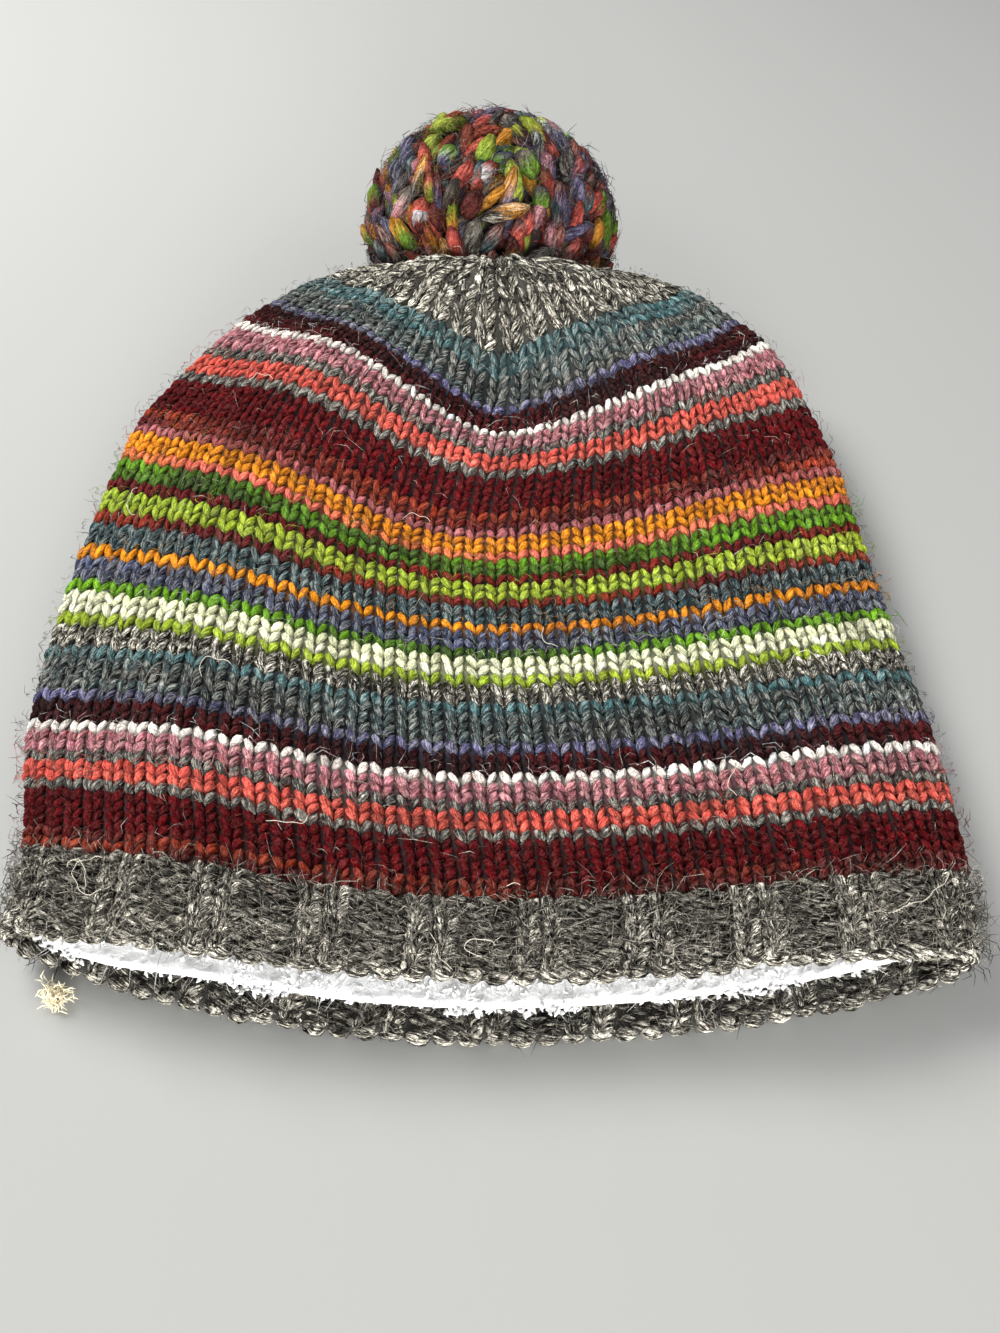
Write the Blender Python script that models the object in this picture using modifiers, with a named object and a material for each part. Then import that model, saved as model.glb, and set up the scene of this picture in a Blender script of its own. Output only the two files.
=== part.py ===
"""Knitted bobble hat, lying on its side, in metres with +Z up and +Y towards the bobble.

The knitted tube is a loft: one closed loop for each course of knitting, from the opening to the gather.
The origin is on the flat underside, halfway between the opening and the gather.
"""
import math
from collections import namedtuple

import bmesh
import bpy
import numpy as np
from mathutils import Matrix, Vector

# Size of the knitted body as it lies
HALF_WIDTH = 0.126
BODY_LENGTH = 0.236
BODY_DEPTH = 0.058

# Walls and the room between them
KNIT_WALL = 0.0040
LINING_WALL = 0.0030
CLEARANCE = 0.0004
JOIN_GAP = 0.0010

# Ribbed band
BAND_SHARE = 0.10
RIB_REPEATS = 20
RIB_DEPTH = 0.0018

# Fleece lining
LINING_SETBACK = 0.0065
LINING_DEPTH = 0.070
LINING_INSET = KNIT_WALL + CLEARANCE + 0.7 * RIB_DEPTH

# Gather and the tie that passes through it
TIE_RADIUS = 0.0026
TIE_REACH = 0.0008
GATHER_HEIGHT = 0.0500
PLEATS = 10
PLEAT_DEPTH = 0.0011

# Bobble's core, which its own weight and the floor make wider than it is deep
BOBBLE_WIDTH = 0.0880
BOBBLE_LENGTH = 0.0800
BOBBLE_DEPTH = 0.0750
BOBBLE_HEIGHT = 0.0410
BOBBLE_SIDE = -0.001
BOBBLE_NECK = 0.0040

# Locks of wool on the bobble. None grow within the bare angle round the tie, and they slant to the
# tie from a parting that lies a little to the right.
BARE_ANGLE = 0.46
LOCK_LENGTH = 0.024
LOCK_LENGTH_SPREAD = 0.14
LOCK_WIDTH = 0.0140
LOCK_HEIGHT = 0.0110
LOCK_COUNT = 66
LOCK_SLANT = 0.65
LOCK_SLANT_SPREAD = 0.30
LOCK_PARTING = 0.15

# How far the weight of the hat presses its underside into a flat patch
FLOOR_PRESS = 0.0016

# Where the cloth folds tightly, its inner side is squeezed: the wall takes at most this share of
# the radius of the fold, and never less than this share of itself
FOLD_FILL = 0.50
SQUEEZED_WALL = 0.20

GATHER_RADIUS = TIE_RADIUS + CLEARANCE + KNIT_WALL + PLEAT_DEPTH

# One row for each drawn course. Widths are shares of HALF_WIDTH, places along the hat are
# shares of BODY_LENGTH and heights are shares of BODY_DEPTH.
Section = namedtuple(
    "Section",
    "course left right edge_left edge_right edge_height top_at top_height under_at under_height"
    " roundness bow_left bow_right",
)
GATHER_SHARE = GATHER_RADIUS / HALF_WIDTH
GATHER_MIDDLE = GATHER_HEIGHT / BODY_DEPTH
GATHER_TOP = (GATHER_HEIGHT + GATHER_RADIUS) / BODY_DEPTH
GATHER_UNDER = (GATHER_HEIGHT - GATHER_RADIUS) / BODY_DEPTH
SECTIONS = (
    Section(0.00, 0.915, 0.900, 0.072, 0.045, 0.205, 0.012, 0.455, -0.017, 0.0, 3.2, 1.9, 1.9),
    Section(0.05, 0.904, 0.910, 0.115, 0.088, 0.212, 0.048, 0.462, 0.028, 0.0, 3.2, 1.8, 1.8),
    Section(0.10, 0.915, 0.922, 0.161, 0.131, 0.216, 0.085, 0.460, 0.072, 0.0, 3.1, 1.7, 1.8),
    Section(0.26, 0.984, 0.937, 0.314, 0.284, 0.233, 0.222, 0.445, 0.208, 0.0, 3.0, 1.6, 1.8),
    Section(0.40, 1.000, 0.915, 0.490, 0.445, 0.270, 0.365, 0.440, 0.350, 0.0, 2.9, 1.5, 1.8),
    Section(0.60, 0.960, 0.890, 0.795, 0.700, 0.345, 0.560, 0.495, 0.542, 0.0, 2.7, 1.3, 1.7),
    Section(0.72, 0.835, 0.830, 0.935, 0.880, 0.425, 0.690, 0.570, 0.678, 0.0, 2.6, 1.2, 1.8),
    Section(0.78, 0.725, 0.765, 1.020, 0.968, 0.485, 0.752, 0.625, 0.770, 0.02, 2.5, 1.3, 2.1),
    Section(0.83, 0.625, 0.680, 1.050, 1.000, 0.555, 0.804, 0.680, 0.822, 0.14, 2.4, 1.5, 2.5),
    Section(0.89, 0.500, 0.560, 1.075, 1.040, 0.630, 0.880, 0.790, 0.896, 0.30, 2.3, 1.7, 2.7),
    Section(0.95, 0.330, 0.370, 1.062, 1.045, 0.740, 0.942, 0.950, 0.958, 0.50, 2.1, 1.8, 2.3),
    Section(1.00, GATHER_SHARE, GATHER_SHARE, 1.000, 1.000, GATHER_MIDDLE,
            0.988, GATHER_TOP, 1.000, GATHER_UNDER, 2.0, 2.0, 2.0),
)

# Soft hollows (positive depth) and swells (negative) of the upper panel. Places across and their
# reach are shares of the half width there, and along the hat shares of the courses. Depth is a
# share of BODY_DEPTH.
Dent = namedtuple("Dent", "name across course reach_across reach_course depth")
DENTS = (
    Dent("crown_valley", 0.03, 0.860, 0.25, 0.110, 0.150),
    Dent("left_lobe", -0.58, 0.760, 0.30, 0.130, -0.190),
    Dent("right_lobe", 0.60, 0.840, 0.24, 0.090, -0.110),
    Dent("middle_hollow", -0.20, 0.630, 0.20, 0.075, 0.080),
    Dent("left_shoulder", -0.66, 0.530, 0.28, 0.150, -0.130),
    Dent("right_shoulder", 0.72, 0.600, 0.24, 0.130, -0.070),
    Dent("left_roll", -0.64, 0.250, 0.28, 0.150, -0.150),
    Dent("right_roll", 0.78, 0.260, 0.20, 0.200, -0.040),
    Dent("brim_sag", 0.12, 0.030, 0.30, 0.090, 0.035),
    Dent("brim_left_lift", -0.62, 0.060, 0.20, 0.070, -0.060),
    Dent("brim_right_lift", 0.62, 0.000, 0.18, 0.060, -0.050),
)

# How finely the loft is divided. The crown's rings crowd towards the gather, and its points
# crowd into the side folds until the courses where the crown starts to turn over.
LOOP_POINTS = 60
LOOP_SAMPLES = 1200
CROWN_RINGS = 20
GATHER_CROWDING = 1.35
FOLD_LENGTH = 0.035
FOLD_CROWDING_FROM = 0.90
FOLD_CROWDING_FULL = 0.70
BAND_RINGS = 4
LINING_RINGS = 4
NORMAL_STEP = 0.004
TIE_SIDES = 12
LOCK_SIDES = 6
LOCK_RINGS = 4

# The flat underside gives way to the rising crown between these courses
PRESS_FULL = 0.80
PRESS_END = 0.95

# Pleats grow between the first two courses, and run out over the last stretch to the gather
PLEATS_FROM = 0.78
PLEATS_FULL = 0.88
PLEATS_RUN_OUT = 0.08

# The ribs flatten over this share of the band, where the stripes begin
RIB_RUN_OUT = 0.25


def smooth_table(places, values, where):
    """Monotone cubic curve through a short table."""
    places = np.asarray(places, float)
    values = np.asarray(values, float)
    steps = np.diff(places)
    slopes = np.diff(values) / steps
    tangents = np.zeros_like(values)
    tangents[0] = slopes[0]
    tangents[-1] = slopes[-1]
    for i in range(1, len(values) - 1):
        before = slopes[i - 1]
        after = slopes[i]
        if before * after > 0.0:
            tangents[i] = 2.0 * before * after / (before + after)
    i = int(np.clip(np.searchsorted(places, where) - 1, 0, len(steps) - 1))
    t = (where - places[i]) / steps[i]
    h00 = 2 * t**3 - 3 * t**2 + 1
    h10 = t**3 - 2 * t**2 + t
    h01 = -2 * t**3 + 3 * t**2
    h11 = t**3 - t**2
    return (h00 * values[i] + h10 * steps[i] * tangents[i]
            + h01 * values[i + 1] + h11 * steps[i] * tangents[i + 1])


COURSES = [section.course for section in SECTIONS]
COLUMNS = {name: [getattr(section, name) for section in SECTIONS] for name in Section._fields}


def section_at(course):
    """The drawn sections' columns, read at any share of the courses."""
    return Section(*(smooth_table(COURSES, COLUMNS[name], course) for name in Section._fields))


def ramp(course, none_at, full_at):
    """0 at one course and 1 at the other, and straight between them."""
    return float(np.clip((course - none_at) / (full_at - none_at), 0.0, 1.0))


def place_along(share):
    """Share of the body length to a Y place, with the origin halfway."""
    return (share - 0.5) * BODY_LENGTH


def loop_at(course, count, turn_length=0.0):
    """Closed loop of one course: right edge, over the top, left edge, back along the underside."""
    section = section_at(course)
    angle = np.linspace(0.0, 2.0 * np.pi, LOOP_SAMPLES + 1)
    across = np.sign(np.cos(angle)) * np.abs(np.cos(angle)) ** (2.0 / section.roundness)
    rise = np.sign(np.sin(angle)) * np.abs(np.sin(angle)) ** (2.0 / section.roundness)
    reach = np.where(across < 0.0, section.left, section.right) * HALF_WIDTH
    edge_at = np.where(across < 0.0, section.edge_left, section.edge_right)
    bow = np.abs(across) ** np.where(across < 0.0, section.bow_left, section.bow_right)
    upper = rise >= 0.0
    middle_at = np.where(upper, section.top_at, section.under_at)
    along = place_along(middle_at + (edge_at - middle_at) * bow)
    edge_height = section.edge_height * BODY_DEPTH
    top_rise = section.top_height * BODY_DEPTH - edge_height
    press = FLOOR_PRESS * ramp(course, PRESS_END, PRESS_FULL)
    under_drop = edge_height - section.under_height * BODY_DEPTH + press
    height = edge_height + np.where(upper, rise * top_rise, rise * under_drop)
    upper_share = np.clip(rise, 0.0, 1.0) ** 2 * (1.0 - np.abs(across) ** 8)
    for dent in DENTS:
        off_across = (across - dent.across) / dent.reach_across
        off_course = (course - dent.course) / dent.reach_course
        hollow = np.exp(-(off_across ** 2 + off_course ** 2))
        height = height - upper_share * dent.depth * BODY_DEPTH * hollow
    height = np.maximum(height, 0.0)
    loop = np.stack([across * reach, along, height], axis=1)
    return spread_points(loop, count, turn_length)


def spread_points(loop, count, turn_length):
    """Points spaced by length, with turn_length added for each radian of turn, so that the folds
    get more of them. The upper panel has as many as the lower one."""
    half = LOOP_SAMPLES // 2
    steps = np.diff(loop, axis=0)
    lengths = np.linalg.norm(steps, axis=1)
    headings = steps / np.maximum(lengths, 1e-9)[:, None]
    ahead = np.roll(headings, -1, axis=0)
    turns = np.arccos(np.clip(np.sum(headings * ahead, axis=1), -1.0, 1.0))
    costs = lengths + turn_length * turns
    points = []
    for part, cost in ((loop[:half + 1], costs[:half]), (loop[half:], costs[half:])):
        walked = np.concatenate([[0.0], np.cumsum(cost)])
        stops = np.linspace(0.0, walked[-1], count // 2 + 1)[:-1]
        points.append(np.stack([np.interp(stops, walked, part[:, k]) for k in range(3)], axis=1))
    return np.concatenate(points)


def outward(course, count, turn_length=0.0):
    """Unit vectors pointing out of the knitted tube, at the points of one loop."""
    after = loop_at(min(course + NORMAL_STEP, 1.0), count, turn_length)
    before = loop_at(max(course - NORMAL_STEP, 0.0), count, turn_length)
    loop = loop_at(course, count, turn_length)
    round_the_hat = np.roll(loop, -1, axis=0) - np.roll(loop, 1, axis=0)
    normal = np.cross(round_the_hat, after - before)
    normal = normal / np.linalg.norm(normal, axis=1)[:, None]
    return -normal


def skin(course, count, relief, turn_length=0.0):
    """One loop of the hat, moved out or in along its normals by relief, in metres."""
    normals = outward(course, count, turn_length)
    loop = loop_at(course, count, turn_length) + normals * np.asarray(relief)[:, None]
    loop[:, 2] = np.maximum(loop[:, 2], 0.0)
    return loop


def rib_relief(course, count):
    """Two plain and two purl columns, which fade out where the stripes begin."""
    turn = np.arange(count) / count
    fade = ramp(course, BAND_SHARE, (1.0 - RIB_RUN_OUT) * BAND_SHARE)
    return -0.5 * RIB_DEPTH * fade * np.cos(2.0 * np.pi * RIB_REPEATS * turn)


def pleat_relief(course, count):
    """Radial pleats that the tie draws up at the crown."""
    turn = np.arange(count) / count
    grow = ramp(course, PLEATS_FROM, PLEATS_FULL) * ramp(course, 1.0, 1.0 - PLEATS_RUN_OUT)
    return PLEAT_DEPTH * grow * np.cos(2.0 * np.pi * PLEATS * turn)


def fold_radii(before, here, after, inwards):
    """Radius of the bend at each point where it bends inwards, and an endless one elsewhere."""
    a = np.linalg.norm(here - before, axis=-1)
    b = np.linalg.norm(after - here, axis=-1)
    c = np.linalg.norm(after - before, axis=-1)
    area = 0.5 * np.linalg.norm(np.cross(here - before, after - here), axis=-1)
    radii = a * b * c / np.maximum(4.0 * area, 1e-12)
    bends_in = np.sum((0.5 * (before + after) - here) * inwards, axis=-1) > 0.0
    return np.where(bends_in, radii, np.inf)


def wall_shares(rings, wall):
    """Share of the wall that each point keeps, less where the skin folds tightly."""
    skins = np.array(rings)
    round_the_hat = np.roll(skins, -1, axis=1) - np.roll(skins, 1, axis=1)
    up_the_hat = np.gradient(skins, axis=0)
    inwards = np.cross(round_the_hat, up_the_hat)
    radii = fold_radii(np.roll(skins, 1, axis=1), skins, np.roll(skins, -1, axis=1), inwards)
    up_radii = fold_radii(skins[:-2], skins[1:-1], skins[2:], inwards[1:-1])
    radii[1:-1] = np.minimum(radii[1:-1], up_radii)
    nearby = [np.roll(radii, shift, axis=1) for shift in (-1, 0, 1)]
    return np.clip(FOLD_FILL * np.min(nearby, axis=0) / wall, SQUEEZED_WALL, 1.0)


def loft(name, rings, wall, material, collection):
    """Open tube through the rings, given its wall inwards."""
    count = len(rings[0])
    mesh = bpy.data.meshes.new(name)
    cage = bmesh.new()
    grid = [[cage.verts.new(point) for point in ring] for ring in rings]
    for lower, upper in zip(grid[:-1], grid[1:]):
        for i in range(count):
            j = (i + 1) % count
            cage.faces.new((lower[i], upper[i], upper[j], lower[j]))
    cage.normal_update()
    cage.to_mesh(mesh)
    cage.free()
    piece = bpy.data.objects.new(name, mesh)
    collection.objects.link(piece)
    mesh.materials.append(material)
    mesh.shade_smooth()
    shares = wall_shares(rings, wall)
    squeeze = piece.vertex_groups.new(name="wall")
    for index, share in enumerate(shares.flatten()):
        squeeze.add([index], float(share), "REPLACE")
    shell = piece.modifiers.new("wall", "SOLIDIFY")
    shell.vertex_group = squeeze.name
    shell.thickness = wall
    shell.offset = -1.0
    shell.use_rim = True
    return piece


def plain_material(name, colour, roughness):
    material = bpy.data.materials.new(name)
    material.use_nodes = True
    shader = material.node_tree.nodes["Principled BSDF"]
    shader.inputs["Base Color"].default_value = (*colour, 1.0)
    shader.inputs["Roughness"].default_value = roughness
    shader.inputs["Metallic"].default_value = 0.0
    return material


def striped_crown(collection):
    count = LOOP_POINTS
    start = BAND_SHARE + JOIN_GAP / BODY_LENGTH
    left_over = [(1.0 - k / (CROWN_RINGS - 1)) ** GATHER_CROWDING for k in range(CROWN_RINGS)]
    courses = [1.0 - (1.0 - start) * share for share in left_over]
    rings = []
    for course in courses:
        fold_length = FOLD_LENGTH * ramp(course, FOLD_CROWDING_FROM, FOLD_CROWDING_FULL)
        rings.append(skin(course, count, pleat_relief(course, count), fold_length))
    wool = plain_material("striped_wool", (0.35, 0.10, 0.10), 0.9)
    return loft("striped_crown", rings, KNIT_WALL, wool, collection)


def ribbed_band(collection):
    count = 2 * LOOP_POINTS
    courses = [BAND_SHARE * k / (BAND_RINGS - 1) for k in range(BAND_RINGS)]
    rings = [skin(course, count, rib_relief(course, count)) for course in courses]
    marl = plain_material("grey_marl_wool", (0.18, 0.17, 0.16), 0.95)
    return loft("ribbed_band", rings, KNIT_WALL, marl, collection)


def fleece_lining(collection):
    count = LOOP_POINTS
    start = LINING_SETBACK / BODY_LENGTH
    end = start + LINING_DEPTH / BODY_LENGTH
    courses = [start + (end - start) * k / (LINING_RINGS - 1) for k in range(LINING_RINGS)]
    rings = [loop_at(course, count) - outward(course, count) * LINING_INSET for course in courses]
    fleece = plain_material("white_fleece", (0.86, 0.85, 0.83), 1.0)
    return loft("fleece_lining", rings, LINING_WALL, fleece, collection)


def lock_frame(direction, tie_direction, slant):
    """Turns a lock's long side along the bobble's surface, slanting towards the tie."""
    outward_way = Vector(direction).normalized()
    to_tie = Vector(tie_direction) - outward_way * outward_way.dot(Vector(tie_direction))
    to_tie.normalize()
    sideways = outward_way.cross(to_tie)
    long_way = to_tie * math.cos(slant) + sideways * math.sin(slant)
    cross_way = outward_way.cross(long_way)
    return Matrix((long_way, cross_way, outward_way)).transposed().to_4x4()


def bobble(collection, cutters):
    """Pompom: a core with plump locks fused to it, a flat patch on the floor and the tie."""
    gather_at = place_along(SECTIONS[-1].under_at)
    reach = Vector((0.5 * BOBBLE_WIDTH, 0.5 * BOBBLE_LENGTH, 0.5 * BOBBLE_DEPTH))
    centre = Vector((BOBBLE_SIDE, gather_at + BOBBLE_NECK + reach.y, BOBBLE_HEIGHT))
    tie_point = Vector((0.0, gather_at, GATHER_HEIGHT))
    tie_direction = (tie_point - centre).normalized()

    bpy.ops.mesh.primitive_ico_sphere_add(subdivisions=3, radius=1.0)
    core = bpy.context.object
    core.name = "bobble"
    core.data.transform(Matrix.Diagonal((*reach, 1.0)))
    core.data.transform(Matrix.Translation(centre))
    move_to(core, collection)
    core.data.materials.append(plain_material("mixed_wool", (0.45, 0.30, 0.18), 0.95))

    pieces = bpy.data.collections.new("bobble_cutters")
    cutters.children.link(pieces)
    golden = math.pi * (3.0 - math.sqrt(5.0))
    for k in range(LOCK_COUNT):
        level = 1.0 - 2.0 * (k + 0.5) / LOCK_COUNT
        ring = math.sqrt(1.0 - level * level)
        direction = Vector((ring * math.cos(golden * k), ring * math.sin(golden * k), level))
        if direction.dot(tie_direction) > math.cos(BARE_ANGLE):
            continue
        side = math.copysign(1.0, direction.x - LOCK_PARTING)
        sway = side * LOCK_SLANT * (1.0 + LOCK_SLANT_SPREAD * (math.sin(3.1 * k) - 1.0))
        seat = Vector(reach[i] * direction[i] for i in range(3))
        away = Vector(direction[i] / reach[i] for i in range(3)).normalized()
        turn = lock_frame(away, tie_direction, sway)
        length = LOCK_LENGTH * (1.0 + LOCK_LENGTH_SPREAD * math.sin(2.3 * k))
        bpy.ops.mesh.primitive_uv_sphere_add(segments=LOCK_SIDES, ring_count=LOCK_RINGS, radius=1.0)
        lock = bpy.context.object
        lock.name = "lock_%02d" % k
        lock.data.transform(Matrix.Rotation(math.pi / 2, 4, "Y"))
        lock.data.transform(Matrix.Diagonal((0.5 * length, 0.5 * LOCK_WIDTH, 0.5 * LOCK_HEIGHT, 1.0)))
        lock.data.transform(Matrix.Translation(centre + seat) @ turn)
        hide_cutter(lock, pieces)

    tie_length = TIE_REACH + BOBBLE_NECK + 0.5 * reach.y
    bpy.ops.mesh.primitive_cylinder_add(vertices=TIE_SIDES, radius=TIE_RADIUS, depth=tie_length)
    tie = bpy.context.object
    tie.name = "tie"
    tie_start = gather_at - TIE_REACH
    tie.data.transform(Matrix.Rotation(math.pi / 2, 4, "X"))
    tie.data.transform(Matrix.Translation((0.0, tie_start + 0.5 * tie_length, GATHER_HEIGHT)))
    hide_cutter(tie, pieces)

    fuse = core.modifiers.new("locks", "BOOLEAN")
    fuse.operation = "UNION"
    fuse.operand_type = "COLLECTION"
    fuse.collection = pieces
    fuse.solver = "EXACT"

    bpy.ops.mesh.primitive_cube_add(size=1.0)
    floor = bpy.context.object
    floor.name = "floor_cutter"
    side = 2.0 * BOBBLE_WIDTH
    floor.data.transform(Matrix.Diagonal((side, side, side, 1.0)))
    floor.data.transform(Matrix.Translation((centre.x, centre.y, -0.5 * side)))
    hide_cutter(floor, cutters)
    flatten = core.modifiers.new("resting_patch", "BOOLEAN")
    flatten.operation = "DIFFERENCE"
    flatten.object = floor
    flatten.solver = "EXACT"
    return core


def move_to(piece, collection):
    for home in list(piece.users_collection):
        home.objects.unlink(piece)
    collection.objects.link(piece)


def hide_cutter(cutter, collection):
    move_to(cutter, collection)
    cutter.hide_render = True
    cutter.display_type = "WIRE"


def clear_scene():
    for old in list(bpy.data.objects):
        bpy.data.objects.remove(old, do_unlink=True)


clear_scene()
hat = bpy.data.collections.new("bobble_hat")
cutting = bpy.data.collections.new("cutters")
bpy.context.scene.collection.children.link(hat)
bpy.context.scene.collection.children.link(cutting)
striped_crown(hat)
ribbed_band(hat)
fleece_lining(hat)
bobble(hat, cutting)
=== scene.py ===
"""A hand-knitted, lined bobble hat lying on its side: its stitches, fleece, bobble and stray hairs."""
import math

import bpy
import numpy as np
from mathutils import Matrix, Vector, noise
from mathutils.kdtree import KDTree


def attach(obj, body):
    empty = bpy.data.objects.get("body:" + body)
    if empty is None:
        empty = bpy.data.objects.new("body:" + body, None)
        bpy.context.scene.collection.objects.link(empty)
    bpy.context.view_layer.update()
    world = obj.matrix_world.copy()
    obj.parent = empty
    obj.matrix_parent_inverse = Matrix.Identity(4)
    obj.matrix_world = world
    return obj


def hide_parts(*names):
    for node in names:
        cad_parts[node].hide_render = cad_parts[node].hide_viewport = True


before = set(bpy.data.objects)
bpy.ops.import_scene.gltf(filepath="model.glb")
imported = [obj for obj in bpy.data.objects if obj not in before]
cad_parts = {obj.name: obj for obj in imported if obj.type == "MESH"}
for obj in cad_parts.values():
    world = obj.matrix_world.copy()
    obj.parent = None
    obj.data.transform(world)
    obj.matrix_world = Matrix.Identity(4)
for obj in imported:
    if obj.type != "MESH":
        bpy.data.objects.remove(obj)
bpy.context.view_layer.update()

# Camera.
# It looks down at the opening from in front of the brim, at the angle and distance of a phone
# held over the table. The picture is taken to be 1000 by 1333.
CAMERA_LENS_MM = 27.03
CAMERA_AT = (0.0025, -0.196, 0.236)
CAMERA_DOWN = math.radians(52.0)
camera_data = bpy.data.cameras.new("camera")
camera_data.lens = CAMERA_LENS_MM
camera_data.clip_start = 0.01
camera = bpy.data.objects.new("camera", camera_data)
camera.location = CAMERA_AT
camera.rotation_euler = (0.5 * math.pi - CAMERA_DOWN, 0.0, 0.0)
bpy.context.scene.collection.objects.link(camera)
bpy.context.scene.camera = camera
bpy.context.scene.view_settings.view_transform = "Standard"

# Floor.
# A wide, plain, pale board, as light as the sheet that the hat lies on.
FLOOR_REACH = 1.6
floor_mesh = bpy.data.meshes.new("floor")
floor_mesh.from_pydata(
    [(-FLOOR_REACH, -FLOOR_REACH, 0.0), (FLOOR_REACH, -FLOOR_REACH, 0.0),
     (FLOOR_REACH, FLOOR_REACH, 0.0), (-FLOOR_REACH, FLOOR_REACH, 0.0)], [], [(0, 1, 2, 3)])
floor = bpy.data.objects.new("floor", floor_mesh)
bpy.context.scene.collection.objects.link(floor)
pale = bpy.data.materials.new("pale_floor")
pale.use_nodes = True
pale_shader = pale.node_tree.nodes["Principled BSDF"]
pale_shader.inputs["Base Color"].default_value = (0.325, 0.325, 0.31, 1.0)
pale_shader.inputs["Roughness"].default_value = 0.9
pale_shader.inputs["Specular IOR Level"].default_value = 0.2
floor_mesh.materials.append(pale)

# Light.
# Soft daylight: a big window high on the left, a weaker fill from the right and a pale room.
SOFT_LIGHTS = (
    # name, place, size, watts
    ("window", (-0.70, 0.50, 0.95), 0.55, 26.0),
    ("fill", (0.85, -0.50, 0.90), 0.90, 4.0),
    ("front", (0.10, -1.10, 0.24), 0.50, 21.0),
)
for name, place, size, watts in SOFT_LIGHTS:
    lamp = bpy.data.lights.new(name, "AREA")
    lamp.size = size
    lamp.energy = watts
    light = bpy.data.objects.new(name, lamp)
    light.location = place
    light.rotation_euler = (-Vector(place)).to_track_quat("-Z", "Y").to_euler()
    bpy.context.scene.collection.objects.link(light)
room = bpy.data.worlds.new("room")
room.use_nodes = True
room.node_tree.nodes["Background"].inputs["Color"].default_value = (0.93, 0.95, 1.0, 1.0)
room.node_tree.nodes["Background"].inputs["Strength"].default_value = 0.40
bpy.context.scene.world = room

# Knitted cloth under the stitches.
# The hat is one tube of wool, knitted round from the brim to the gather. This is its cloth behind
# the visible stitches, which closes the chinks between them and shows its purl side inside.
HALF_WIDTH = 0.126
BODY_LENGTH = 0.236
BODY_DEPTH = 0.058
KNIT_WALL = 0.0040
CLEARANCE = 0.0004
FLOOR_PRESS = 0.0016
TIE_RADIUS = 0.0026
PLEATS = 10
PLEAT_DEPTH = 0.0011
GATHER_HEIGHT = 0.0500
GATHER_RADIUS = TIE_RADIUS + CLEARANCE + KNIT_WALL + PLEAT_DEPTH
GATHER_SHARE = GATHER_RADIUS / HALF_WIDTH
GATHER_MIDDLE = GATHER_HEIGHT / BODY_DEPTH
GATHER_TOP = (GATHER_HEIGHT + GATHER_RADIUS) / BODY_DEPTH
GATHER_UNDER = (GATHER_HEIGHT - GATHER_RADIUS) / BODY_DEPTH

# Drawn courses of the tube: widths are shares of HALF_WIDTH, places along it of BODY_LENGTH and
# heights of BODY_DEPTH
SECTIONS = (
    # course, left, right, edge_left, edge_right, edge_height, top_at, top_height, under_at,
    # under_height, roundness, bow_left, bow_right
    (0.00, 0.915, 0.900, 0.072, 0.045, 0.205, 0.012, 0.455, -0.017, 0.0, 3.2, 1.9, 1.9),
    (0.05, 0.904, 0.910, 0.115, 0.088, 0.212, 0.048, 0.462, 0.028, 0.0, 3.2, 1.8, 1.8),
    (0.10, 0.915, 0.922, 0.161, 0.131, 0.216, 0.085, 0.460, 0.072, 0.0, 3.1, 1.7, 1.8),
    (0.26, 0.984, 0.937, 0.314, 0.284, 0.233, 0.222, 0.445, 0.208, 0.0, 3.0, 1.6, 1.8),
    (0.40, 1.000, 0.915, 0.490, 0.445, 0.270, 0.365, 0.440, 0.350, 0.0, 2.9, 1.5, 1.8),
    (0.60, 0.960, 0.890, 0.795, 0.700, 0.345, 0.560, 0.495, 0.542, 0.0, 2.7, 1.3, 1.7),
    (0.72, 0.835, 0.830, 0.935, 0.880, 0.425, 0.690, 0.570, 0.678, 0.0, 2.6, 1.2, 1.8),
    (0.78, 0.725, 0.765, 1.020, 0.968, 0.485, 0.752, 0.625, 0.770, 0.02, 2.5, 1.3, 2.1),
    (0.83, 0.625, 0.680, 1.050, 1.000, 0.555, 0.804, 0.680, 0.822, 0.14, 2.4, 1.5, 2.5),
    (0.89, 0.500, 0.560, 1.075, 1.040, 0.630, 0.880, 0.790, 0.896, 0.30, 2.3, 1.7, 2.7),
    (0.95, 0.330, 0.370, 1.062, 1.045, 0.740, 0.942, 0.950, 0.958, 0.50, 2.1, 1.8, 2.3),
    (1.00, GATHER_SHARE, GATHER_SHARE, 1.000, 1.000, GATHER_MIDDLE,
     0.988, GATHER_TOP, 1.000, GATHER_UNDER, 2.0, 2.0, 2.0),
)
# Soft hollows (positive depth) and swells (negative) of the upper panel
DENTS = (
    # across, course, reach_across, reach_course, depth
    (0.03, 0.860, 0.25, 0.110, 0.150),
    (-0.58, 0.760, 0.30, 0.130, -0.190),
    (0.60, 0.840, 0.24, 0.090, -0.110),
    (-0.20, 0.630, 0.20, 0.075, 0.080),
    (-0.66, 0.530, 0.28, 0.150, -0.130),
    (0.72, 0.600, 0.24, 0.130, -0.070),
    (-0.64, 0.250, 0.28, 0.150, -0.150),
    (0.78, 0.260, 0.20, 0.200, -0.040),
    (0.12, 0.030, 0.30, 0.090, 0.035),
    (-0.62, 0.060, 0.20, 0.070, -0.060),
    (0.62, 0.000, 0.18, 0.060, -0.050),
)


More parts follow.
